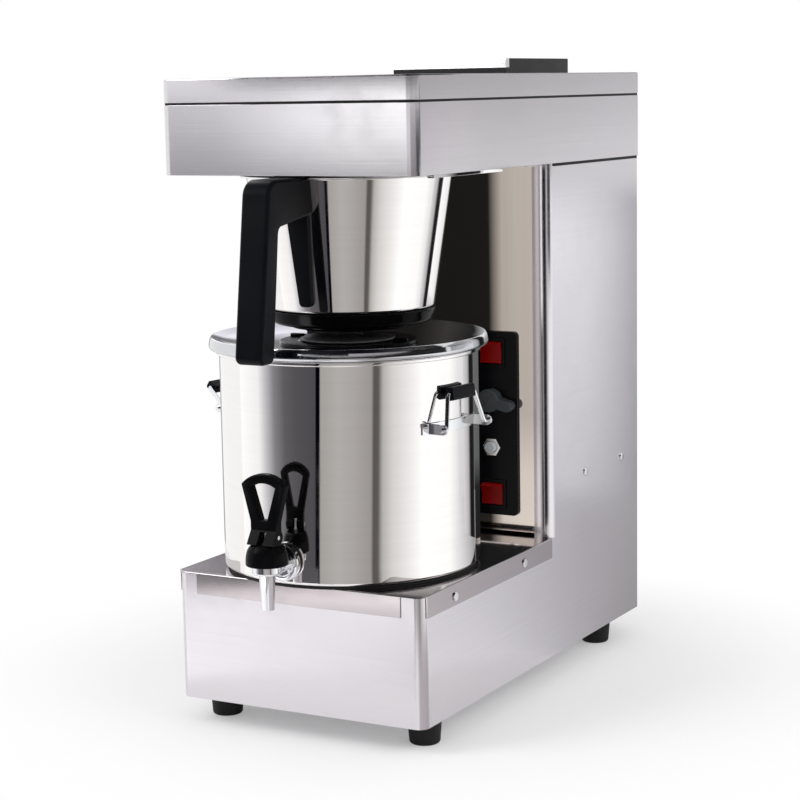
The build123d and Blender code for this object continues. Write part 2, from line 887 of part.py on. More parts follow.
# Basket handle: arm and grip cut from one bent outline, and a tongue that lies down the cone
handle_top = basket_top + handle_rise
arm_root_height = basket_top - arm_root_drop
arm_grip_height = basket_top - arm_grip_drop
grip_bottom = rim_height - grip_overhang
tongue_bottom = cone_bottom + tongue_lift
handle_side = Plane(origin=(0, basket_y, 0), x_dir=(0, -1, 0), z_dir=(-1, 0, 0))
arm_under_rim = rim_under - fit
cone_height = arm_under_rim - cone_bottom
handle_start = cone_radius(tongue_bottom) - tongue_thickness
seat_place = (0, basket_y, cone_bottom)
upward = (Align.CENTER, Align.CENTER, Align.MIN)
with BuildPart() as tongue:
    with BuildSketch(upright(basket_y)) as tongue_outline:
        Polygon(
            (-tongue_width / 2, arm_root_height),
            (-tongue_tip_width / 2, tongue_bottom),
            (tongue_tip_width / 2, tongue_bottom),
            (tongue_width / 2, arm_root_height),
            align=None,
        )
        fillet(tongue_outline.vertices().group_by(Axis.Y)[0], tongue_edge)
    extrude(amount=basket_rim_radius)
    with Locations(seat_place):
        Cone(
            cone_bottom_radius + tongue_thickness,
            cone_radius(arm_under_rim) + tongue_thickness,
            cone_height,
            align=upward,
            mode=Mode.INTERSECT,
        )
with BuildPart() as basket_handle:
    with BuildSketch(handle_side) as handle_outline:
        with BuildLine():
            Polyline(
                (handle_start, arm_under_rim),
                (basket_rim_radius + fit, arm_under_rim),
                (basket_rim_radius + fit + arm_step, handle_top),
                (grip_top_reach, handle_top),
                (grip_bottom_reach, grip_bottom),
                (grip_bottom_reach - grip_bottom_depth, grip_bottom),
                (grip_top_reach - grip_top_depth, arm_grip_height),
                (handle_start, arm_root_height),
                close=True,
            )
        make_face()
        outer_corner = handle_outline.vertices().group_by(Axis.Y)[-1].sort_by(Axis.X)[-1]
        fillet(outer_corner, grip_corner)
        inner_corner = handle_outline.vertices().filter_by_position(
            Axis.Y, arm_grip_height - fit, arm_grip_height + fit
        )
        fillet(inner_corner, grip_inner_corner)
        fillet(handle_outline.vertices().group_by(Axis.Y)[0], grip_tip_edge)
    extrude(amount=handle_width / 2, both=True)
    outer_faces = basket_handle.faces().filter_by(Axis.X)
    long_edges = outer_faces.edges().filter_by_position(
        Axis.Y, basket_y - 2 * grip_bottom_reach, basket_y - basket_rim_radius - arm_edge_start
    )
    fillet(long_edges, handle_edge)
    add(tongue.part)
    with Locations(seat_place):
        Cone(cone_bottom_radius, cone_radius(arm_under_rim), cone_height, align=upward, mode=Mode.SUBTRACT)
save(basket_handle, "basket_handle")

# Screw heads inside the cone that hold the handle
with BuildPart() as handle_screws:
    for height in [basket_top - drop for drop in handle_screw_drops]:
        with BuildSketch(upright(basket_y - cone_radius(height) + basket_wall + handle_screw_head)):
            with Locations((0, height)):
                Circle(handle_screw_radius)
        extrude(amount=2 * handle_screw_head)
    with Locations((0, basket_y, cone_bottom + basket_wall)):
        Cone(
            cone_bottom_radius - basket_wall,
            cone_top_radius - basket_wall,
            basket_top - cone_bottom - basket_wall,
            align=upward,
            mode=Mode.INTERSECT,
        )
save(handle_screws, "handle_screws")

# Urn: outer shell with a rolled bead at its top
shell_bottom = deck_height + urn_base_height
bead_top = urn_body_top + bead_height
with BuildPart() as urn_shell:
    with BuildSketch(upright(urn_y)) as shell_section:
        with BuildLine():
            Polyline(
                (0, shell_bottom),
                (urn_radius, shell_bottom),
                (urn_radius, urn_body_top),
                (urn_radius + bead_depth, urn_body_top),
                (urn_radius + bead_depth, bead_top),
                (urn_radius - urn_wall, bead_top),
                (urn_radius - urn_wall, shell_bottom + urn_wall),
                (0, shell_bottom + urn_wall),
                close=True,
            )
        make_face()
        fillet(shell_section.vertices().group_by(Axis.Y)[0].sort_by(Axis.X)[-1], urn_bottom_radius)
        fillet(shell_section.vertices().group_by(Axis.X)[-1], bead_edge)
    revolve(axis=urn_axis)
    with BuildSketch(upright(urn_y)):
        with Locations((0, shank_height)):
            Circle(shank_radius + fit)
    extrude(amount=urn_radius + bead_depth, mode=Mode.SUBTRACT)
save(urn_shell, "urn_shell")

with BuildPart() as urn_base_ring:
    with BuildSketch(Plane.XY.offset(deck_height)):
        with Locations((0, urn_y)):
            Circle(urn_radius - urn_base_inset)
            Circle(urn_radius - urn_base_inset - urn_base_width, mode=Mode.SUBTRACT)
    extrude(amount=urn_base_height)
save(urn_base_ring, "urn_base_ring")

# Inner vessel, hung from a flange at the bead
liner_radius = urn_radius - liner_gap
liner_bottom = shell_bottom + liner_lift
with BuildPart() as urn_liner:
    with BuildSketch(upright(urn_y)) as liner_section:
        with BuildLine():
            Polyline(
                (0, liner_bottom),
                (liner_radius, liner_bottom),
                (liner_radius, bead_top - urn_wall),
                (urn_radius - urn_wall, bead_top - urn_wall),
                (urn_radius - urn_wall, bead_top),
                (liner_radius - urn_wall, bead_top),
                (liner_radius - urn_wall, liner_bottom + urn_wall),
                (0, liner_bottom + urn_wall),
                close=True,
            )
        make_face()
        fillet(liner_section.vertices().group_by(Axis.Y)[0].sort_by(Axis.X)[-1], urn_bottom_radius)
    revolve(axis=urn_axis)
    with BuildSketch(upright(urn_y)):
        with Locations((0, shank_height)):
            Circle(shank_radius + fit)
    extrude(amount=urn_radius, mode=Mode.SUBTRACT)
save(urn_liner, "urn_liner")

# Gasket on the bead, and the dished steel top whose rolled rim covers it
gasket_top = bead_top + gasket_height
skirt_radius = urn_radius + bead_depth - fit
skirt_inner = skirt_radius - rim_thickness
gasket_outer = skirt_inner - fit
gasket_inner = gasket_outer - gasket_width
with BuildPart() as rim_gasket:
    with BuildSketch(Plane.XY.offset(bead_top)):
        with Locations((0, urn_y)):
            Circle(gasket_outer)
            Circle(gasket_inner, mode=Mode.SUBTRACT)
    extrude(amount=gasket_height)
save(rim_gasket, "rim_gasket")

dish_height = rim_height - dish_fall
neck_height = dish_height - neck_fall
with BuildPart() as urn_top:
    with BuildSketch(upright(urn_y)) as top_section:
        with BuildLine():
            Polyline(
                (neck_radius, neck_height - neck_depth),
                (neck_radius, neck_height),
                (dish_radius, dish_height),
                (gasket_inner, gasket_top + rim_thickness),
                (rim_radius - rim_thickness, rim_height),
                (rim_radius, rim_height - rim_thickness),
            )
            ThreePointArc(
                (rim_radius, rim_height - rim_thickness),
                (rim_belly_radius, rim_height - rim_belly_fall),
                (skirt_radius, bead_top + fit),
            )
            Polyline(
                (skirt_radius, bead_top + fit),
                (skirt_inner, bead_top + fit),
                (skirt_inner, gasket_top),
                (gasket_inner, gasket_top),
                (dish_radius, dish_height - rim_thickness),
                (neck_radius + rim_thickness, neck_height - rim_thickness),
                (neck_radius + rim_thickness, neck_height - neck_depth),
                (neck_radius, neck_height - neck_depth),
            )
        make_face()
        fillet(top_section.vertices().group_by(Axis.Y)[-1], rim_thickness / 2)
    revolve(axis=urn_axis)
save(urn_top, "urn_top")

# Urn lid that twists in the neck, and its domed cap with the drip hole
plug_radius = neck_radius - lid_fit
lid_flange_bottom = neck_height + lid_fit
lid_flange_top = lid_flange_bottom + lid_flange_height
lid_seat_top = lid_flange_top + lid_seat_height
lid_flange_radius = plug_radius + lid_flange_width
with BuildPart() as urn_lid:
    with BuildSketch(upright(urn_y)) as lid_section:
        with BuildLine():
            Polyline(
                (lid_hole_radius, neck_height - neck_depth),
                (plug_radius, neck_height - neck_depth),
                (plug_radius, lid_flange_bottom),
                (lid_flange_radius, lid_flange_bottom),
                (lid_flange_radius, lid_flange_top),
                (lid_seat_radius + lid_seat_height, lid_flange_top),
                (lid_seat_radius, lid_seat_top),
                (lid_hole_radius, lid_seat_top),
                close=True,
            )
        make_face()
        fillet(lid_section.vertices().group_by(Axis.X)[-1].sort_by(Axis.Y)[-1], lid_flange_height / 2)
    revolve(axis=urn_axis)
    with Locations((tab_reach, urn_y, lid_flange_top), (-tab_reach, urn_y, lid_flange_top)):
        Box(tab_length, tab_width, tab_height, align=upward)
save(urn_lid, "urn_lid")

cap_edge_top = lid_seat_top + lid_cap_edge
cap_top = cap_edge_top + lid_cap_rise
with BuildPart() as lid_cap:
    with BuildSketch(upright(urn_y)):
        with BuildLine():
            Polyline(
                (lid_hole_radius, cap_top),
                (lid_hole_radius, lid_seat_top),
                (lid_cap_radius, lid_seat_top),
                (lid_cap_radius, cap_edge_top),
            )
            ThreePointArc(
                (lid_cap_radius, cap_edge_top),
                ((lid_cap_radius + lid_hole_radius) / 2, cap_top - lid_cap_rise / 4),
                (lid_hole_radius, cap_top),
            )
        make_face()
    revolve(axis=urn_axis)
save(lid_cap, "lid_cap")

# Faucet body: barrel over a tapered spout, with a bored shank into the vessel
spout_tip = barrel_bottom - spout_length
collar_top = barrel_top + collar_height
shank_end = urn_y - liner_radius + 2 * urn_wall
with BuildPart() as faucet_body:
    with BuildSketch(upright(faucet_y)):
        with BuildLine():
            Polyline(
                (spout_bore, spout_tip),
                (spout_tip_radius, spout_tip),
                (spout_top_radius, barrel_bottom),
                (barrel_radius, barrel_bottom),
                (barrel_radius, barrel_top),
                (collar_radius, barrel_top),
                (collar_radius, collar_top),
                (chamber_radius, collar_top),
                (chamber_radius, chamber_floor),
                (spout_bore, chamber_floor),
                close=True,
            )
        make_face()
    revolve(axis=faucet_axis)
    with BuildSketch(upright(faucet_y + (barrel_radius + chamber_radius) / 2)):
        with Locations((0, shank_height)):
            Circle(shank_radius)
    extrude(amount=faucet_y + (barrel_radius + chamber_radius) / 2 - shank_end)
    with BuildSketch(upright(faucet_y + chamber_radius / 2)):
        with Locations((0, shank_height)):
            Circle(shank_bore)
    extrude(amount=faucet_y + chamber_radius / 2 - shank_end, mode=Mode.SUBTRACT)
save(faucet_body, "faucet_body")

urn_front = urn_y - urn_radius
with BuildPart() as faucet_seal:
    with BuildSketch(upright(urn_front)):
        with Locations((0, shank_height)):
            Circle(seal_radius)
            Circle(shank_radius, mode=Mode.SUBTRACT)
    extrude(amount=seal_thickness)
save(faucet_seal, "faucet_seal")

with BuildPart() as faucet_nut:
    with BuildSketch(upright(urn_front - seal_thickness)):
        with Locations((0, shank_height)):
            Circle(nut_radius)
            Circle(shank_radius, mode=Mode.SUBTRACT)
    extrude(amount=nut_thickness)
    fillet(faucet_nut.faces().sort_by(Axis.Y)[0].outer_wire().edges(), nut_edge)
save(faucet_nut, "faucet_nut")

# Bonnet: a bell that screws over the barrel's collar and guides the stem
bonnet_bottom = barrel_top + fit
bonnet_top = bonnet_bottom + bonnet_height
with BuildPart() as faucet_bonnet:
    with BuildSketch(upright(faucet_y)):
        with BuildLine():
            Polyline(
                (bonnet_top_radius, bonnet_top),
                (stem_radius + running_gap, bonnet_top),
                (stem_radius + running_gap, bonnet_top - bonnet_crown),
                (collar_radius, bonnet_top - bonnet_crown),
                (collar_radius, bonnet_bottom),
                (bonnet_radius, bonnet_bottom),
            )
            ThreePointArc(
                (bonnet_radius, bonnet_bottom),
                (bonnet_shoulder, bonnet_bottom + bonnet_shoulder_height),
                (bonnet_top_radius, bonnet_top),
            )
        make_face()
    revolve(axis=faucet_axis)
save(faucet_bonnet, "faucet_bonnet")

# Valve: the cup closes the spout, and the stem carries the lever's pin
lever_pin_height = bonnet_top + lever_foot_radius + fit
lever_pin_place = (0, faucet_y, lever_pin_height)
cup_top = chamber_floor + cup_height
with BuildPart() as seat_cup:
    with Locations((0, faucet_y, chamber_floor)):
        Cylinder(cup_radius, cup_height, align=upward)
    fillet(seat_cup.edges().group_by(Axis.Z)[-1], cup_edge)
save(seat_cup, "seat_cup")

with BuildPart() as valve_stem:
    with Locations((0, faucet_y, cup_top)):
        Cylinder(stem_radius, lever_pin_height + stem_above_pin - cup_top, align=upward)
    with Locations(lever_pin_place):
        Cylinder(lever_pin_radius, lever_foot_width, rotation=along_x, mode=Mode.SUBTRACT)
save(valve_stem, "valve_stem")

with BuildPart() as lever_pin:
    with Locations(lever_pin_place):
        Cylinder(lever_pin_radius, lever_foot_width, rotation=along_x)
save(lever_pin, "lever_pin")

# Lever: a loop on a foot whose underside is a cam, an involute that lifts the stem evenly
foot_half = lever_foot_width / 2
lever_waist_height = bonnet_top + lever_waist_rise
lever_web_height = bonnet_top + lever_web_rise
lever_shoulder_height = bonnet_top + lever_shoulder_rise
lever_top_height = bonnet_top + lever_top_rise
top_half = lever_top_width / 2
hole_half = top_half - lever_bar - lever_edge
stem_slot = stem_radius + fit
slot_top = lever_pin_height + hypot(stem_radius, stem_above_pin) + fit
cam_reach = lever_lift / radians(lever_tilt)


def cam_point(angle):
    # Point of the foot's underside that touches the bonnet when the lever is tilted by an angle
    turn = radians(angle)
    reach = lever_foot_radius + cam_reach * turn
    forward = reach * sin(turn) + cam_reach * cos(turn)
    down = reach * cos(turn) - cam_reach * sin(turn)
    return (forward, lever_pin_height - down)


with BuildPart() as faucet_lever:
    with BuildSketch(upright(faucet_y)) as lever_outline:
        with BuildLine():
            Polyline(
                (top_half, lever_shoulder_height),
                (foot_half, lever_waist_height),
                (foot_half, lever_pin_height),
                (-foot_half, lever_pin_height),
                (-foot_half, lever_waist_height),
                (-top_half, lever_shoulder_height),
            )
            ThreePointArc(
                (-top_half, lever_shoulder_height),
                (0, lever_top_height),
                (top_half, lever_shoulder_height),
            )
        make_face()
        fillet(lever_outline.vertices().group_by(Axis.X)[0], lever_edge)
        fillet(lever_outline.vertices().group_by(Axis.X)[-1], lever_edge)
        with BuildLine():
            Polyline(
                (hole_half, lever_shoulder_height - lever_edge),
                (lever_hole_tip / 2, lever_web_height),
                (-lever_hole_tip / 2, lever_web_height),
                (-hole_half, lever_shoulder_height - lever_edge),
            )
            ThreePointArc(
                (-hole_half, lever_shoulder_height - lever_edge),
                (0, lever_top_height - lever_bar),
                (hole_half, lever_shoulder_height - lever_edge),
            )
        make_face(mode=Mode.SUBTRACT)
    extrude(amount=lever_thickness / 2, both=True)
    flat_edges = faucet_lever.faces().filter_by(Axis.Y).edges()
    fillet(flat_edges.filter_by_position(Axis.Z, lever_waist_height, 2 * lever_top_height), lever_edge)
    with BuildSketch(Plane(origin=(0, faucet_y, 0), x_dir=(0, -1, 0), z_dir=(-1, 0, 0))):
        with Locations((0, lever_pin_height)):
            Circle(lever_foot_radius)
        with BuildLine():
            ThreePointArc(cam_point(0), cam_point(lever_tilt / 2), cam_point(lever_tilt))
            Polyline(
                cam_point(lever_tilt),
                (lever_thickness / 2, lever_pin_height + lever_foot_radius),
                (0, lever_pin_height + lever_foot_radius),
                (0, lever_pin_height - lever_foot_radius),
                cam_point(0),
            )
        make_face()
    extrude(amount=foot_half, both=True)
    with Locations(lever_pin_place):
        Cylinder(lever_pin_radius + running_gap, lever_foot_width, rotation=along_x, mode=Mode.SUBTRACT)
    with Locations((0, faucet_y, bonnet_top)):
        Box(2 * stem_slot, 4 * lever_thickness, slot_top - bonnet_top, align=upward, mode=Mode.SUBTRACT)
save(faucet_lever, "faucet_lever")


# Side handles: each stands on its own plan direction
def outward(angle):
    return Vector(cos(radians(angle)), sin(radians(angle)), 0)


def sideways(angle):
    return Vector(-sin(radians(angle)), cos(radians(angle)), 0)


def pivot_place(angle):
    return Vector(0, urn_y, bail_height) + outward(angle) * pivot_distance


right_angle = -bail_turn
left_angle = 180 - bail_turn
# Brackets: a strap bent to the urn with two ears for the wire
with BuildPart() as bail_brackets:
    for angle in (right_angle, left_angle):
        strap_place = (0, urn_y, bail_height - bracket_width / 2)
        strap_plane = Plane(origin=strap_place, x_dir=outward(angle), z_dir=(0, 0, 1))
        with BuildSketch(strap_plane):
            Circle(urn_radius + bracket_thickness)
            Circle(urn_radius, mode=Mode.SUBTRACT)
            Rectangle(2 * urn_radius, 2 * bracket_half, align=(Align.MIN, Align.CENTER), mode=Mode.INTERSECT)
        extrude(amount=bracket_width)
        for side in (1, -1):
            ear_plane = Plane(
                origin=pivot_place(angle) + sideways(angle) * side * pivot_half,
                x_dir=outward(angle),
                z_dir=sideways(angle),
            )
            with BuildSketch(ear_plane):
                Circle(ear_radius)
                Rectangle(ear_length, 2 * ear_radius, align=(Align.MAX, Align.CENTER))
            extrude(amount=ear_thickness / 2, both=True)
            with BuildSketch(ear_plane):
                Circle(bail_wire + running_gap)
            extrude(amount=ear_thickness, both=True, mode=Mode.SUBTRACT)
    with Locations((0, urn_y, bail_height)):
        Cylinder(urn_radius, 4 * bracket_width, mode=Mode.SUBTRACT)
save(bail_brackets, "bail_brackets")


def bail(angle, tilt):
    # Wire handle with its moulded grip, leaning outwards from upright
    legs = Vector(0, 0, 1) * cos(radians(tilt)) + outward(angle) * sin(radians(tilt))
    facing = sideways(angle).cross(legs)
    lying = Plane(origin=pivot_place(angle), x_dir=sideways(angle), z_dir=facing)
    with BuildPart() as wire:
        with BuildLine(lying) as route:
            FilletPolyline(
                (bail_stub, 0),
                (bail_foot_half, 0),
                (bail_top_half, bail_length),
                (-bail_top_half, bail_length),
                (-bail_foot_half, 0),
                (-bail_stub, 0),
                radius=bail_bend,
            )
        with BuildSketch(Plane(origin=route.line @ 0, z_dir=route.line % 0)):
            Circle(bail_wire)
        sweep()
    bar_middle = lying.from_local_coords((0, bail_length, 0))
    along_bar = Plane(origin=bar_middle, x_dir=legs, z_dir=sideways(angle))
    with BuildPart() as grip:
        with BuildSketch(along_bar):
            RectangleRounded(bail_grip_height, bail_grip_thickness, bail_grip_edge)
            Circle(bail_wire, mode=Mode.SUBTRACT)
        extrude(amount=bail_grip_length / 2, both=True)
    return wire, grip


right_wire, right_grip = bail(right_angle, right_bail_tilt)
left_wire, left_grip = bail(left_angle, left_bail_tilt)
save(right_wire, "right_bail")
save(right_grip, "right_grip")
save(left_wire, "left_bail")
save(left_grip, "left_grip")

# Water tank on its shelf, with the heater and the thermostat let in from above
with BuildPart() as tank_shelf:
    with Locations((0, tank_y, tank_bottom)):
        Box(2 * inner_half, shelf_depth, sheet, align=(Align.CENTER, Align.CENTER, Align.MAX))
save(tank_shelf, "tank_shelf")

heater_y = tank_y + heater_offset
outlet_y = tank_y - outlet_offset
with BuildPart() as water_tank:
    with Locations((0, tank_y, tank_bottom)):
        Cylinder(tank_radius, tank_top - tank_bottom, align=upward)
    with Locations((0, tank_y, tank_bottom + sheet)):
        Cylinder(tank_radius - sheet, tank_top - tank_bottom - 2 * sheet, align=upward, mode=Mode.SUBTRACT)
    with BuildSketch(Plane.XY.offset(tank_top)):
        with Locations((heater_half, heater_y), (-heater_half, heater_y)):
            Circle(heater_radius)
        with Locations((probe_x, tank_y)):
            Circle(probe_radius)
        with Locations((0, fill_y)):
            Circle(fill_tube_radius)
        with Locations((0, outlet_y)):
            Circle(tube_radius)
    extrude(amount=-sheet, mode=Mode.SUBTRACT)
save(water_tank, "water_tank")

with BuildPart() as heating_element:
    with BuildLine() as heater_route:
        FilletPolyline(
            (heater_half, heater_y, tank_top + heater_tail),
            (heater_half, heater_y, tank_bottom + heater_clearance),
            (-heater_half, heater_y, tank_bottom + heater_clearance),
            (-heater_half, heater_y, tank_top + heater_tail),
            radius=heater_half - heater_radius,
        )
    with BuildSketch(Plane(origin=heater_route.line @ 0, z_dir=heater_route.line % 0)):
        Circle(heater_radius)
    sweep()
save(heating_element, "heating_element")

with BuildPart() as thermostat:
    with Locations((probe_x, tank_y, tank_top)):
        Cylinder(probe_radius, probe_length, align=(Align.CENTER, Align.CENTER, Align.MAX))
        Box(probe_box, probe_box, probe_box_height, align=upward)
save(thermostat, "thermostat")

fill_tube_bottom = tank_bottom + fill_tube_lift
with BuildPart() as fill_tube:
    with Locations((0, fill_y, fill_tube_bottom)):
        Cylinder(fill_tube_radius, basin_floor - fill_tube_bottom, align=upward)
        Cylinder(fill_tube_radius - tube_wall, basin_floor - fill_tube_bottom, align=upward, mode=Mode.SUBTRACT)
save(fill_tube, "fill_tube")

# Hot water tube from the tank to the spray head
spray_top = head_bottom + spray_height
tube_level = head_bottom + tube_rise
with BuildPart() as outlet_tube:
    with BuildLine() as tube_route:
        FilletPolyline(
            (0, outlet_y, tank_top - sheet),
            (0, outlet_y, tube_level),
            (0, basket_y, tube_level),
            (0, basket_y, spray_top),
            radius=tube_bend,
        )
    with BuildSketch(Plane(origin=tube_route.line @ 0, z_dir=tube_route.line % 0)):
        Circle(tube_radius)
        Circle(tube_radius - tube_wall, mode=Mode.SUBTRACT)
    sweep()
save(outlet_tube, "outlet_tube")

# Spray head, seated on the head's floor
spray_bottom = head_bottom - spray_drop
with BuildPart() as spray_head:
    with Locations((0, basket_y, spray_bottom)):
        Cylinder(spray_radius, spray_top - spray_bottom, align=upward)
    with Locations((0, basket_y, head_bottom + sheet)):
        Cylinder(spray_radius + spray_lip, sheet, align=upward)
    with Locations((0, basket_y, spray_bottom + sheet)):
        Cylinder(spray_chamber_radius, spray_chamber_height, align=upward, mode=Mode.SUBTRACT)
    with Locations((0, basket_y, spray_bottom)):
        Cylinder(spray_hole_radius, sheet, align=upward, mode=Mode.SUBTRACT)
        with PolarLocations(spray_circle_radius, spray_holes):
            Cylinder(spray_hole_radius, sheet, align=upward, mode=Mode.SUBTRACT)
    with Locations((0, basket_y, spray_top)):
        Cylinder(
            tube_radius - tube_wall,
            spray_height,
            align=(Align.CENTER, Align.CENTER, Align.MAX),
            mode=Mode.SUBTRACT,
        )
save(spray_head, "spray_head")
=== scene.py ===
import bmesh
import bpy
import json
from math import cos, pi, radians, sin
from mathutils import Matrix, Vector

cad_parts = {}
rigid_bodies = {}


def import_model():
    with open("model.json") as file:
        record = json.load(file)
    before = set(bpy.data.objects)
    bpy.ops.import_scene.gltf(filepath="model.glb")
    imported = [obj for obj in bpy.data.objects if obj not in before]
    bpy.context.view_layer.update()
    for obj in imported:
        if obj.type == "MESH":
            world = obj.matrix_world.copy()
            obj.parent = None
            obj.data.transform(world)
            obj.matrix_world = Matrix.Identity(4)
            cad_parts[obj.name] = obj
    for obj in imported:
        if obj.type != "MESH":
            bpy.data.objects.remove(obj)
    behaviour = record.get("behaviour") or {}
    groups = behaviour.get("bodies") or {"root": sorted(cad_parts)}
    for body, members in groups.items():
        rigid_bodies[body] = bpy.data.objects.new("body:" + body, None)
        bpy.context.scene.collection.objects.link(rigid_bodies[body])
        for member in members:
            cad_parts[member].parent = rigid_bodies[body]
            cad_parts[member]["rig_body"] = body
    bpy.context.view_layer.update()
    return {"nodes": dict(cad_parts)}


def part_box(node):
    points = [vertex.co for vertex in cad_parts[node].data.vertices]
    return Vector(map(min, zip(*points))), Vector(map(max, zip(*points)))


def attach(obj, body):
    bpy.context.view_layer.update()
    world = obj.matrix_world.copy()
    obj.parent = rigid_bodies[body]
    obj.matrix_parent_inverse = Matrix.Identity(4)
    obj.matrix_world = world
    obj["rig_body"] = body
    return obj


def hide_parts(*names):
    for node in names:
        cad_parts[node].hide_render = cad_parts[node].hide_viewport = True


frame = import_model()
print("frame loaded:", len(frame["nodes"]), "nodes")

# Camera, at the photograph's viewpoint
cameraSetup = {
    "place": (0.9684, -1.8081, 0.5856),
    "yaw": 28.77,
    "pitch": 8.52,
    "roll": -1.02,
    "lens": 94.14,
    "sensor": 36.0,
}


def makeCamera():
    data = bpy.data.cameras.new("photoCamera")
    data.lens = cameraSetup["lens"]
    data.sensor_width = cameraSetup["sensor"]
    camera = bpy.data.objects.new("photoCamera", data)
    turn = Matrix.Rotation(radians(cameraSetup["yaw"]), 4, "Z")
    tilt = Matrix.Rotation(pi / 2 - radians(cameraSetup["pitch"]), 4, "X")
    roll = Matrix.Rotation(radians(cameraSetup["roll"]), 4, "Z")
    camera.matrix_world = Matrix.Translation(cameraSetup["place"]) @ turn @ tilt @ roll
    bpy.context.scene.collection.objects.link(camera)
    bpy.context.scene.camera = camera


makeCamera()
bpy.context.scene.view_settings.view_transform = "Standard"
print("camera placed")


# Small helpers for node trees
def newMaterial(name):
    material = bpy.data.materials.new(name)
    material.use_nodes = True
    nodes = material.node_tree.nodes
    shader = nodes["Principled BSDF"]
    return material, nodes, material.node_tree.links, shader


def addNode(nodes, kind, **values):
    node = nodes.new(kind)
    for key, value in values.items():
        setattr(node, key, value)
    return node


def mathNode(nodes, links, operation, first, second, clamp=False):
    node = addNode(nodes, "ShaderNodeMath", operation=operation, use_clamp=clamp)
    for socket, value in zip(node.inputs, (first, second)):
        if isinstance(value, float):
            socket.default_value = value
        else:
            links.new(value, socket)
    return node.outputs[0]


fullRange = (0.0, 1.0)


def mapNode(nodes, links, value, fromRange, toRange=fullRange, kind="LINEAR"):
    node = nodes.new("ShaderNodeMapRange")
    node.interpolation_type = kind
    for label, number in zip(("From Min", "From Max", "To Min", "To Max"), (*fromRange, *toRange)):
        node.inputs[label].default_value = number
    links.new(value, node.inputs["Value"])
    return node.outputs[0]


def noiseNode(nodes, links, vector, scale, detail):
    node = nodes.new("ShaderNodeTexNoise")
    node.inputs["Detail"].default_value = detail
    links.new(vector, node.inputs["Vector"])
    if isinstance(scale, float):
        node.inputs["Scale"].default_value = scale
    else:
        links.new(scale, node.inputs["Scale"])
    return node.outputs["Fac"]


def newGroup(name, inputs, outputs):
    group = bpy.data.node_groups.new(name, "ShaderNodeTree")
    for label, kind, value in inputs:
        socket = group.interface.new_socket(label, in_out="INPUT", socket_type=kind)
        socket.default_value = value
    for label in outputs:
        group.interface.new_socket(label, in_out="OUTPUT", socket_type="NodeSocketFloat")
    start = group.nodes.new("NodeGroupInput")
    end = group.nodes.new("NodeGroupOutput")
    return group, group.nodes, group.links, start, end


# Grain of a brushed or polished sheet: fine streaks, soft bands and wiping marks
brushGrain = {
    "stretch": (6.0, 6.0, 900.0),
    "relief": 0.5,
    "streaks": {"scale": 1.0, "detail": 3.0, "shade": (0.965, 1.035)},
    "clouds": {"scale": 7.0, "detail": 2.0, "range": (0.3, 0.7), "rough": (-0.025, 0.025)},
    "wipes": {"scale": 34.0, "detail": 3.0, "range": (0.5, 0.72), "rough": (0.0, 0.03)},
}


def makeBrushGroup():
    group, nodes, links, start, end = newGroup(
        "brushGrain",
        [
            ("Stretch", "NodeSocketVector", brushGrain["stretch"]),
            ("Relief", "NodeSocketFloat", brushGrain["relief"]),
        ],
        ["Shade", "Rough", "Height"],
    )
    streak, cloud, wipe = brushGrain["streaks"], brushGrain["clouds"], brushGrain["wipes"]
    coords = nodes.new("ShaderNodeTexCoord")
    stretch = addNode(nodes, "ShaderNodeVectorMath", operation="MULTIPLY")
    links.new(coords.outputs["Object"], stretch.inputs[0])
    links.new(start.outputs["Stretch"], stretch.inputs[1])
    streaks = noiseNode(nodes, links, stretch.outputs[0], streak["scale"], streak["detail"])
    clouds = noiseNode(nodes, links, coords.outputs["Object"], cloud["scale"], cloud["detail"])
    wipes = noiseNode(nodes, links, coords.outputs["Object"], wipe["scale"], wipe["detail"])
    shade = mapNode(nodes, links, streaks, fullRange, streak["shade"])
    cloudRough = mapNode(nodes, links, clouds, cloud["range"], cloud["rough"])
    wipeRough = mapNode(nodes, links, wipes, wipe["range"], wipe["rough"])
    links.new(shade, end.inputs["Shade"])
    links.new(mathNode(nodes, links, "ADD", cloudRough, wipeRough), end.inputs["Rough"])
    links.new(mathNode(nodes, links, "MULTIPLY", streaks, start.outputs["Relief"]), end.inputs["Height"])
    return group


# Fine mould grain and finger marks on plastic and rubber
mouldGrain = {
    "scale": 900.0,
    "relief": 0.3,
    "detail": 4.0,
    "smears": {"scale": 28.0, "detail": 3.0, "range": (0.35, 0.7), "rough": (-0.04, 0.08)},
}


def makeGrainGroup():
    group, nodes, links, start, end = newGroup(
        "mouldGrain",
        [("Scale", "NodeSocketFloat", mouldGrain["scale"]), ("Relief", "NodeSocketFloat", mouldGrain["relief"])],
        ["Mottle", "Rough", "Height"],
    )
    smear = mouldGrain["smears"]
    coords = nodes.new("ShaderNodeTexCoord")
    grain = noiseNode(nodes, links, coords.outputs["Object"], start.outputs["Scale"], mouldGrain["detail"])
    smears = noiseNode(nodes, links, coords.outputs["Object"], smear["scale"], smear["detail"])
    links.new(smears, end.inputs["Mottle"])
    links.new(mapNode(nodes, links, smears, smear["range"], smear["rough"]), end.inputs["Rough"])
    links.new(mathNode(nodes, links, "MULTIPLY", grain, start.outputs["Relief"]), end.inputs["Height"])
    return group


# Worn edges, broken up by noise
edgeWear = {
    "radius": 0.0006,
    "samples": 4,
    "facing": (0.8, 0.985),
    "patches": {"scale": 260.0, "detail": 3.0, "range": (0.35, 0.6)},
}


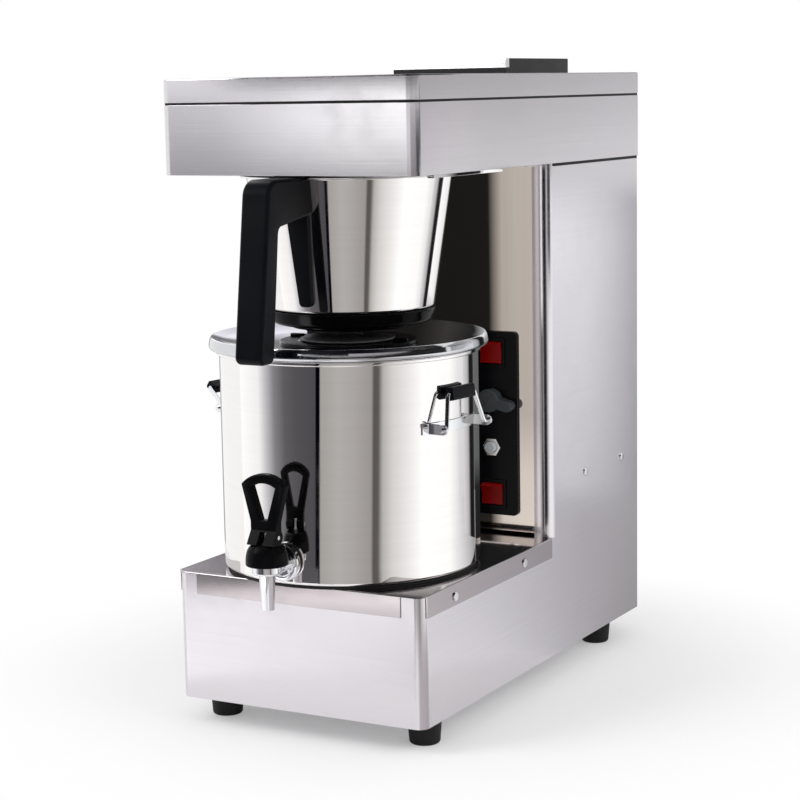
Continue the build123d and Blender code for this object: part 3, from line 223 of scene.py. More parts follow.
def makeWearGroup():
    patch = edgeWear["patches"]
    group, nodes, links, start, end = newGroup(
        "edgeWear",
        [("Radius", "NodeSocketFloat", edgeWear["radius"]), ("Break Up", "NodeSocketFloat", patch["scale"])],
        ["Mask"],
    )
    rounded = addNode(nodes, "ShaderNodeBevel", samples=edgeWear["samples"])
    links.new(start.outputs["Radius"], rounded.inputs["Radius"])
    plain = nodes.new("ShaderNodeNewGeometry")
    facing = addNode(nodes, "ShaderNodeVectorMath", operation="DOT_PRODUCT")
    links.new(rounded.outputs["Normal"], facing.inputs[0])
    links.new(plain.outputs["Normal"], facing.inputs[1])
    edge = mapNode(nodes, links, facing.outputs["Value"], edgeWear["facing"], fullRange[::-1])
    coords = nodes.new("ShaderNodeTexCoord")
    patches = noiseNode(nodes, links, coords.outputs["Object"], start.outputs["Break Up"], patch["detail"])
    broken = mapNode(nodes, links, patches, patch["range"])
    links.new(mathNode(nodes, links, "MULTIPLY", edge, broken, True), end.inputs["Mask"])
    return group


# Thin dust that settles on faces that look up
settledDust = {
    "amount": 0.1,
    "facing": (0.6, 1.0),
    "specks": {"scale": 420.0, "detail": 5.0, "range": (0.42, 0.75)},
}


def makeDustGroup():
    speck = settledDust["specks"]
    group, nodes, links, start, end = newGroup(
        "settledDust", [("Amount", "NodeSocketFloat", settledDust["amount"])], ["Mask"]
    )
    coords = nodes.new("ShaderNodeTexCoord")
    parts = nodes.new("ShaderNodeSeparateXYZ")
    links.new(coords.outputs["Normal"], parts.inputs[0])
    upward = mapNode(nodes, links, parts.outputs["Z"], settledDust["facing"], kind="SMOOTHSTEP")
    specks = noiseNode(nodes, links, coords.outputs["Object"], speck["scale"], speck["detail"])
    scatter = mapNode(nodes, links, specks, speck["range"])
    settled = mathNode(nodes, links, "MULTIPLY", upward, scatter)
    links.new(mathNode(nodes, links, "MULTIPLY", settled, start.outputs["Amount"], True), end.inputs["Mask"])
    return group


brushGroup = makeBrushGroup()
grainGroup = makeGrainGroup()
wearGroup = makeWearGroup()
dustGroup = makeDustGroup()
print("shader groups made")


def mixColours(nodes, links, factor, first, second):
    node = nodes.new("ShaderNodeMixRGB")
    links.new(factor, node.inputs["Fac"])
    for socket, value in ((node.inputs["Color1"], first), (node.inputs["Color2"], second)):
        if isinstance(value, tuple):
            socket.default_value = (*value, 1.0)
        else:
            links.new(value, socket)
    return node.outputs[0]


reliefDepth = 0.0002


def addRelief(nodes, links, shader, height, strength):
    bump = nodes.new("ShaderNodeBump")
    bump.inputs["Strength"].default_value = strength
    bump.inputs["Distance"].default_value = reliefDepth
    links.new(height, bump.inputs["Height"])
    links.new(bump.outputs[0], shader.inputs["Normal"])


# What a finish has unless it says otherwise
steelDefaults = {"dust": 0.05, "dustColour": (0.5, 0.49, 0.47)}
plasticDefaults = {
    "dust": 0.06,
    "dustColour": (0.24, 0.23, 0.22),
    "wear": 0.0005,
    "wearTimes": 1.6,
    "wearPlus": 0.004,
    "gloss": 0.25,
    "coat": 0.0,
    "coatRough": 0.08,
}


def makeSteel(name, values):
    material, nodes, links, shader = newMaterial(name)
    grain = addNode(nodes, "ShaderNodeGroup", node_tree=brushGroup)
    grain.inputs["Stretch"].default_value = values["stretch"]
    grain.inputs["Relief"].default_value = values["relief"]
    dust = addNode(nodes, "ShaderNodeGroup", node_tree=dustGroup)
    dust.inputs["Amount"].default_value = values["dust"]
    tint = addNode(nodes, "ShaderNodeVectorMath", operation="SCALE")
    tint.inputs[0].default_value = values["colour"]
    links.new(grain.outputs["Shade"], tint.inputs["Scale"])
    dusty = mixColours(nodes, links, dust.outputs["Mask"], tint.outputs[0], values["dustColour"])
    links.new(dusty, shader.inputs["Base Color"])
    rough = mathNode(nodes, links, "ADD", grain.outputs["Rough"], values["rough"], True)
    links.new(mathNode(nodes, links, "ADD", rough, dust.outputs["Mask"], True), shader.inputs["Roughness"])
    addRelief(nodes, links, shader, grain.outputs["Height"], values["bump"])
    shader.inputs["Metallic"].default_value = 1.0
    return material


def makePlastic(name, values):
    material, nodes, links, shader = newMaterial(name)
    grain = addNode(nodes, "ShaderNodeGroup", node_tree=grainGroup)
    grain.inputs["Scale"].default_value = values["grain"]
    grain.inputs["Relief"].default_value = values["relief"]
    wear = addNode(nodes, "ShaderNodeGroup", node_tree=wearGroup)
    wear.inputs["Radius"].default_value = values["wear"]
    dust = addNode(nodes, "ShaderNodeGroup", node_tree=dustGroup)
    dust.inputs["Amount"].default_value = values["dust"]
    body = mixColours(nodes, links, grain.outputs["Mottle"], values["colour"], values["worn"])
    edge = tuple(min(1.0, values["wearTimes"] * part + values["wearPlus"]) for part in values["worn"])
    worn = mixColours(nodes, links, wear.outputs["Mask"], body, edge)
    dusty = mixColours(nodes, links, dust.outputs["Mask"], worn, values["dustColour"])
    links.new(dusty, shader.inputs["Base Color"])
    rough = mathNode(nodes, links, "ADD", grain.outputs["Rough"], values["rough"], True)
    links.new(mathNode(nodes, links, "ADD", rough, dust.outputs["Mask"], True), shader.inputs["Roughness"])
    addRelief(nodes, links, shader, grain.outputs["Height"], values["bump"])
    shader.inputs["Specular IOR Level"].default_value = values["gloss"]
    shader.inputs["Coat Weight"].default_value = values["coat"]
    shader.inputs["Coat Roughness"].default_value = values["coatRough"]
    return material


steelFinishes = {
    "cabinetSteel": {
        "colour": (0.735, 0.715, 0.74), "rough": 0.19, "stretch": (5, 5, 800), "relief": 0.4, "bump": 0.12,
    },
    "coverSteel": {
        "colour": (0.735, 0.715, 0.74), "rough": 0.2, "stretch": (5, 5, 800), "relief": 0.4, "bump": 0.12,
        "dust": 0.12,
    },
    # Deck plate: the cabinet's steel made darker, a painted shade for the darker reflections of the deck top and
    # its flange
    "deckSteelShaded": {
        "colour": (0.5, 0.465, 0.475), "rough": 0.11, "stretch": (5, 5, 700), "relief": 0.3, "bump": 0.06,
        "dust": 0.06,
    },
    "panelSteel": {
        "colour": (0.8, 0.76, 0.725), "rough": 0.06, "stretch": (300, 5, 4), "relief": 0.2, "bump": 0.03,
    },
    "polishedSteel": {
        "colour": (0.9, 0.885, 0.875), "rough": 0.035, "stretch": (3, 3, 240), "relief": 0.1, "bump": 0.015,
    },
    # Urn top: the polished steel made darker, a painted shade for the rim's darker reflections
    "rimSteelShaded": {
        "colour": (0.66, 0.67, 0.69), "rough": 0.07, "stretch": (90, 90, 90), "relief": 0.2, "bump": 0.03,
    },
    # Lid lip: the cabinet's brushed steel made lighter, a painted highlight so that the lip reads white
    "lipSteelLightened": {
        "colour": (0.95, 0.94, 0.94), "rough": 0.16, "stretch": (5, 5, 800), "relief": 0.2, "bump": 0.04,
    },
    "chrome": {
        "colour": (0.84, 0.85, 0.87), "rough": 0.05, "stretch": (60, 60, 60), "relief": 0.1, "bump": 0.02,
    },
    "innerSteel": {
        "colour": (0.55, 0.54, 0.53), "rough": 0.4, "stretch": (20, 20, 300), "relief": 0.4, "bump": 0.2,
    },
}
plasticFinishes = {
    "satinBlack": {
        "colour": (0.0022, 0.0027, 0.004), "worn": (0.005, 0.0056, 0.0076), "rough": 0.32, "grain": 900.0,
        "relief": 0.5, "bump": 0.16, "gloss": 0.08, "wear": 0.0007,
    },
    "leverBlack": {
        "colour": (0.0018, 0.0018, 0.0022), "worn": (0.004, 0.004, 0.005), "rough": 0.26, "grain": 700.0,
        "relief": 0.4, "bump": 0.1, "gloss": 0.05,
    },
    "glossBlack": {
        "colour": (0.0012, 0.0014, 0.0018), "worn": (0.003, 0.003, 0.0034), "rough": 0.16, "grain": 500.0,
        "relief": 0.3, "bump": 0.05, "gloss": 0.07,
    },
    "lidBlack": {
        "colour": (0.006, 0.0062, 0.0068), "worn": (0.012, 0.012, 0.013), "rough": 0.3, "grain": 1100.0,
        "relief": 0.4, "bump": 0.12, "gloss": 0.2, "dust": 0.14,
    },
    # Lid cap: dark plastic lightened to grey, painted light for the cap lying in the dark gap under the basket
    "capBlack": {
        "colour": (0.12, 0.122, 0.132), "worn": (0.15, 0.152, 0.162), "rough": 0.3, "grain": 1100.0,
        "relief": 0.4, "bump": 0.12, "gloss": 0.25, "dust": 0.1,
    },
    "panelBlack": {
        "colour": (0.0024, 0.0028, 0.0038), "worn": (0.005, 0.0056, 0.007), "rough": 0.24, "grain": 1400.0,
        "relief": 0.4, "bump": 0.1, "gloss": 0.1,
    },
    "knobGrey": {
        "colour": (0.03, 0.037, 0.041), "worn": (0.05, 0.058, 0.062), "rough": 0.26, "grain": 700.0,
        "relief": 0.3, "bump": 0.08, "gloss": 0.3,
    },
    "rockerRed": {
        "colour": (0.16, 0.0012, 0.001), "worn": (0.27, 0.0025, 0.002), "rough": 0.16, "grain": 120.0,
        "relief": 0.2, "bump": 0.05, "gloss": 0.15,
    },
    "buttonGrey": {
        "colour": (0.42, 0.45, 0.48), "worn": (0.6, 0.63, 0.66), "rough": 0.18, "grain": 300.0,
        "relief": 0.3, "bump": 0.08, "gloss": 0.5, "coat": 0.5,
    },
    "rubber": {
        "colour": (0.0035, 0.0035, 0.0035), "worn": (0.009, 0.009, 0.009), "rough": 0.6, "grain": 700.0,
        "relief": 0.8, "bump": 0.35, "gloss": 0.3,
    },
    "warmerCoat": {
        "colour": (0.006, 0.006, 0.0065), "worn": (0.014, 0.0135, 0.013), "rough": 0.42, "grain": 1500.0,
        "relief": 0.7, "bump": 0.3, "gloss": 0.35,
    },
    "basinGrey": {
        "colour": (0.03, 0.03, 0.032), "worn": (0.055, 0.055, 0.058), "rough": 0.4, "grain": 800.0,
        "relief": 0.4, "bump": 0.15,
    },
}
finishes = {name: makeSteel(name, {**steelDefaults, **values}) for name, values in steelFinishes.items()}
for name, values in plasticFinishes.items():
    finishes[name] = makePlastic(name, {**plasticDefaults, **values})
print("finishes made:", len(finishes))


# A finished mesh becomes an object: smooth curves, sharp edges, a finish and a body
sharpAngle = 32.0


def shadeMesh(shape):
    for face in shape.faces:
        face.smooth = True
    for seam in shape.edges:
        seam.smooth = seam.is_manifold and seam.calc_face_angle(0.0) < radians(sharpAngle)


def makeObject(name, shape):
    mesh = bpy.data.meshes.new(name)
    shape.to_mesh(mesh)
    shape.free()
    made = bpy.data.objects.new(name, mesh)
    bpy.context.scene.collection.objects.link(made)
    return made


def addPiece(name, shape, finish, node):
    shadeMesh(shape)
    piece = makeObject(name, shape)
    piece.data.materials.append(finishes[finish])
    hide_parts(node)
    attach(piece, frame["nodes"][node]["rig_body"])
    return piece


def evenShading(piece):
    weighted = piece.modifiers.new("evenShading", "WEIGHTED_NORMAL")
    weighted.keep_sharp = True


# Profiles are in millimetres: distance from the axis, height, and how much the corner is rounded
profileUnit = 0.001
profileMerge = 1e-4
cornerSteps = 4


def drawProfile(shape, profile, closed):
    points = [shape.verts.new((corner[0], 0, corner[1])) for corner in profile]
    for first, second in zip(points, points[1:]):
        shape.edges.new((first, second))
    if closed:
        shape.edges.new((points[-1], points[0]))
    for point, corner in zip(points, profile):
        if len(corner) > 2:
            bmesh.ops.bevel(
                shape, geom=[point], offset=corner[2], offset_type="OFFSET", segments=cornerSteps, profile=0.5,
                affect="VERTICES", material=-1,
            )


def spinProfile(profile, closed, steps, places, turn=None):
    whole = bmesh.new()
    for place in places:
        shape = bmesh.new()
        drawProfile(shape, profile, closed)
        bmesh.ops.spin(
            shape, geom=shape.verts[:] + shape.edges[:], cent=(0, 0, 0), axis=(0, 0, 1), angle=2 * pi,
            steps=steps, use_merge=True,
        )
        bmesh.ops.remove_doubles(shape, verts=shape.verts, dist=profileMerge)
        bmesh.ops.scale(shape, vec=(profileUnit,) * 3, verts=shape.verts)
        if turn:
            bmesh.ops.rotate(shape, cent=(0, 0, 0), matrix=turn, verts=shape.verts)
        bmesh.ops.translate(shape, vec=place, verts=shape.verts)
        bmesh.ops.recalc_face_normals(shape, faces=shape.faces)
        mesh = bpy.data.meshes.new("part")
        shape.to_mesh(mesh)
        shape.free()
        whole.from_mesh(mesh)
        bpy.data.meshes.remove(mesh)
    return whole


urnPlace = (0, -0.1415, 0)
basketPlace = (0, -0.134, 0)
faucetPlace = (0, -0.292, 0)
flangePlace = (0, -0.2635, 0.1693)
footPlaces = [(side * 0.106, row, 0) for side in (1, -1) for row in (-0.202, 0.184)]
toFront = Matrix.Rotation(pi / 2, 3, "X")

# Urn, basket, faucet and feet are turned parts
turnedPieces = {
    "urnShell": {
        "node": "urn_shell", "finish": "polishedSteel", "places": [urnPlace], "steps": 224, "closed": False,
        "profile": [
            (0, 148), (120, 148, 3), (120, 345), (122.4, 345, 1.2), (122.4, 349, 1.2), (119, 349), (119, 149, 2),
            (0, 149),
        ],
    },
    "urnTop": {
        "node": "urn_top", "finish": "rimSteelShaded", "places": [urnPlace], "steps": 224, "closed": True,
        "profile": [
            (60, 352, 0.6), (100, 354, 8), (115.6, 357.2, 3), (126.8, 361, 0.7), (128.5, 358.6, 1.4),
            (129.5, 352.4, 1.0), (128.2, 350.2, 0.8), (122.1, 349.3), (120.9, 349.3), (120.9, 356), (115.6, 356),
            (100, 352.8, 3), (61.2, 350.8, 0.8), (61.2, 345), (60, 345),
        ],
    },
    "basketCone": {
        "node": "basket_cone", "finish": "polishedSteel", "places": [basketPlace], "steps": 192, "closed": True,
        "profile": [
            (5, 384.5), (76.9, 384.5, 3), (94.6, 506.2, 1), (100, 506.2, 0.5), (100, 507.7, 0.5),
            (93.6, 507.7, 1.5), (75.9, 385.5, 2), (5, 385.5),
        ],
    },
    "basketBase": {
        "node": "basket_base", "finish": "glossBlack", "places": [basketPlace], "steps": 160, "closed": True,
        "profile": [
            (5, 364), (11, 364, 1), (11, 367.5, 0.8), (58, 367.5, 2.5), (58, 371.5, 1), (74.9, 371.5, 4),
            (78.4, 384.5, 1.2), (5, 384.5),
        ],
    },
    "lidRing": {
        "node": "urn_lid", "finish": "glossBlack", "places": [urnPlace], "steps": 144, "closed": True,
        "profile": [
            (13, 345), (59.6, 345, 0.5), (59.6, 352.4), (64, 352.4, 0.4), (64, 355.4, 1.4), (47, 355.4, 0.5),
            (46, 356.4, 0.3), (13, 356.4),
        ],
    },
    "lidDome": {
        "node": "lid_cap", "finish": "capBlack", "places": [urnPlace], "steps": 144, "closed": True,
        "profile": [(13, 356.4), (43.5, 356.4), (43.5, 357.5, 0.6), (36, 358.7, 4), (24, 359.6, 4), (13, 360, 0.6)],
    },
    "faucetBarrel": {
        "node": "faucet_body", "finish": "chrome", "places": [faucetPlace], "steps": 96, "closed": True,
        "profile": [
            (4.2, 132), (5.8, 132, 0.5), (7.6, 164.5, 0.6), (13.5, 164.5, 2), (13.5, 177.6, 1.2), (11.5, 177.6),
            (11.5, 184.6, 0.4), (9, 184.6), (9, 166), (4.2, 166),
        ],
    },
    "faucetBell": {
        "node": "faucet_bonnet", "finish": "leverBlack", "places": [faucetPlace], "steps": 96, "closed": True,
        "profile": [
            (3.1, 190.9), (14, 190.9, 1.6), (17.4, 186.6, 2.4), (18.9, 180, 2.4), (19, 172.6, 1.2),
            (14.2, 172.6, 0.4), (14.2, 178.4), (11.5, 178.4), (11.5, 186.9), (3.1, 186.9),
        ],
    },
    "faucetFlange": {
        "node": "faucet_nut", "finish": "chrome", "places": [flangePlace], "steps": 96, "closed": True,
        "turn": toFront,
        "profile": [(8, 0), (17, 0, 0.5), (17, 6, 2.2), (12.5, 6, 0.5), (11.5, 5.2, 0.5), (8, 5.2)],
    },
    "feet": {
        "node": "rubber_feet", "finish": "rubber", "places": footPlaces, "steps": 64, "closed": False,
        "profile": [(0, 3), (6, 3, 0.5), (6, 0, 0.5), (14, 0, 2.4), (16, 25, 0.6), (0, 25)],
    },
}
for name, values in turnedPieces.items():
    shape = spinProfile(values["profile"], values["closed"], values["steps"], values["places"], values.get("turn"))
    evenShading(addPiece(name, shape, values["finish"], values["node"]))
print("turned pieces made:", len(turnedPieces))

# Copies of the frame's nodes with merged points, smooth curves and softened edges
dressing = {"edge": 0.0003, "steps": 2, "merge": 1e-6, "flat": 0.6}
dressedNodes = {
    "cabinetSteel": ["body_shell", "head_band", "back_panel", "head_floor", "bottom_plate"],
    "coverSteel": ["top_cover"],
    "panelSteel": ["column_panel"],
    "deckSteelShaded": ["deck_plate"],
    "polishedSteel": ["basket_rails"],
    "lipSteelLightened": ["lid_lip"],
    "chrome": [
        "bail_brackets", "right_bail", "left_bail", "cabinet_screws", "hinge_leaves", "hinge_pins", "lever_pin",
        "button_nut", "valve_stem",
    ],
    "satinBlack": ["basket_handle", "right_grip", "left_grip", "cable_gland"],
    "leverBlack": ["faucet_lever"],
    "lidBlack": ["fill_lid"],
    "panelBlack": ["control_panel", "switch_frames"],
    "knobGrey": ["selector_knob"],
    "rockerRed": ["upper_rocker", "lower_rocker"],
    "buttonGrey": ["push_button"],
    "rubber": ["rim_gasket", "urn_base_ring", "cover_seal", "faucet_seal"],
    "warmerCoat": ["warmer_plate"],
}
softEdges = {
    "upper_rocker": 0.0014,
    "lower_rocker": 0.0014,
    "selector_knob": 0.0007,
    "right_grip": 0.0008,
    "left_grip": 0.0008,
}


def dressNode(name, finish):
    shape = bmesh.new()
    shape.from_mesh(frame["nodes"][name].data)
    bmesh.ops.remove_doubles(shape, verts=shape.verts, dist=dressing["merge"])
    bmesh.ops.dissolve_limit(
        shape, angle_limit=radians(dressing["flat"]), verts=shape.verts, edges=shape.edges, delimit={"SHARP"}
    )
    piece = addPiece(name + "Dressed", shape, finish, name)
    bevel = piece.modifiers.new("softEdges", "BEVEL")
    bevel.width = softEdges.get(name, dressing["edge"])
    bevel.segments = dressing["steps"]
    bevel.limit_method = "ANGLE"
    bevel.angle_limit = radians(sharpAngle)
    bevel.harden_normals = True


for finish, names in dressedNodes.items():
    for name in names:
        dressNode(name, finish)

# Nodes inside the cabinet, the urn and the basket keep their mesh and get a finish
innerNodes = {
    "innerSteel": [
        "water_tank", "tank_shelf", "heating_element", "thermostat", "fill_tube", "outlet_tube", "warmer_element",
        "urn_liner", "filter_screen", "handle_screws", "spray_head",
    ],
    "basinGrey": ["fill_basin", "switch_bodies"],
    "rubber": ["seat_cup"],
}
for finish, names in innerNodes.items():
    for name in names:
        data = frame["nodes"][name].data
        data.materials.clear()
        data.materials.append(finishes[finish])
print("nodes dressed")


# Small bars in pairs, mirrored about the middle
def makeBars(values):
    shape = bmesh.new()
    x, y, z = values["place"]
    for side in (1, -1):
        made = bmesh.ops.create_cube(shape, size=1.0)
        bmesh.ops.scale(shape, vec=values["size"], verts=made["verts"])
        bmesh.ops.translate(shape, vec=(side * x, y, z), verts=made["verts"])
    bmesh.ops.bevel(
        shape, geom=shape.edges[:], offset=values["edge"], offset_type="OFFSET", segments=values["steps"],
        profile=0.5, affect="EDGES", material=-1,
    )
    return shape


# Twist tabs of the urn's lid
lidTabs = {"size": (0.014, 0.005, 0.003), "place": (0.055, urnPlace[1], 0.3567), "edge": 0.0009, "steps": 3}
addPiece("lidTabs", makeBars(lidTabs), "glossBlack", "urn_lid")

# The faucet's shank, from the faucet's back end to inside its barrel
shank = {"bore": 3, "radius": 8, "edge": 0.5, "steps": 64, "front": -0.28}


def makeShank():
    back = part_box("faucet_body")[1][1]
    length = (back - shank["front"]) / profileUnit
    bore, radius = shank["bore"], shank["radius"]
    profile = [(bore, 0), (radius, 0), (radius, length, shank["edge"]), (bore, length)]
    shape = spinProfile(profile, True, shank["steps"], [(0, back, flangePlace[2])], toFront)
    evenShading(addPiece("faucetShank", shape, "chrome", "faucet_body"))


makeShank()

# Black strip in the rubber finish under the head band, along both sides of the column: a painted shadow for the gap
# under the band's lower edge
bandShadowStrip = {"size": (0.0016, 0.21, 0.0026), "place": (0.1289, 0.139, 0.5086), "edge": 0.0004, "steps": 2}


def makeBandShadowStrip():
    shape = makeBars(bandShadowStrip)
    shadeMesh(shape)
    strip = makeObject("bandShadowStrip", shape)
    strip.data.materials.append(finishes["rubber"])
    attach(strip, "cabinet")


makeBandShadowStrip()
print("small pieces made")

# Studio: a round table top and a white surround
studio = {
    "tableRadius": 0.72,
    "tableSteps": 96,
    "tableWhite": (0.93, 0.93, 0.935, 1.0),
    "tableRough": 0.9,
    "tableGloss": 0.1,
    "fade": (0.2, 0.52),
    "fadeShare": (0.25, 1.0),
    "white": 1.0,
    "fill": 0.72,
    "fillColour": (1.0, 0.985, 0.99, 1.0),
}


def makeTable():
    shape = bmesh.new()
    bmesh.ops.create_circle(shape, cap_ends=True, segments=studio["tableSteps"], radius=studio["tableRadius"])
    table = makeObject("table", shape)
    material, nodes, links, shader = newMaterial("tableWhite")
    shader.inputs["Base Color"].default_value = studio["tableWhite"]
    shader.inputs["Roughness"].default_value = studio["tableRough"]
    shader.inputs["Specular IOR Level"].default_value = studio["tableGloss"]
    coords = nodes.new("ShaderNodeTexCoord")
    spread = addNode(nodes, "ShaderNodeVectorMath", operation="LENGTH")
    links.new(coords.outputs["Object"], spread.inputs[0])
    fade = mapNode(nodes, links, spread.outputs["Value"], studio["fade"], studio["fadeShare"], "SMOOTHSTEP")
    glow = nodes.new("ShaderNodeEmission")
    glow.inputs["Strength"].default_value = studio["white"]
    path = nodes.new("ShaderNodeLightPath")
    share = mathNode(nodes, links, "MULTIPLY", fade, path.outputs["Is Camera Ray"])
    mix = nodes.new("ShaderNodeMixShader")
    links.new(share, mix.inputs["Fac"])
    links.new(shader.outputs[0], mix.inputs[1])
    links.new(glow.outputs[0], mix.inputs[2])
    links.new(mix.outputs[0], nodes["Material Output"].inputs["Surface"])
    table.data.materials.append(material)


def makeWorld():
    world = bpy.data.worlds.new("surround")
    bpy.context.scene.world = world
    world.use_nodes = True
    nodes, links = world.node_tree.nodes, world.node_tree.links
    seen = nodes["Background"]
    seen.inputs["Color"].default_value = (1.0, 1.0, 1.0, 1.0)
    seen.inputs["Strength"].default_value = studio["white"]
    lit = nodes.new("ShaderNodeBackground")
    lit.inputs["Color"].default_value = studio["fillColour"]
    lit.inputs["Strength"].default_value = studio["fill"]
    path = nodes.new("ShaderNodeLightPath")
    either = mathNode(nodes, links, "ADD", path.outputs["Is Camera Ray"], path.outputs["Is Glossy Ray"], True)
    mix = nodes.new("ShaderNodeMixShader")
    links.new(either, mix.inputs["Fac"])
    links.new(lit.outputs[0], mix.inputs[1])
    links.new(seen.outputs[0], mix.inputs[2])
    links.new(mix.outputs[0], nodes["World Output"].inputs["Surface"])


makeTable()
makeWorld()
print("table and surround made")
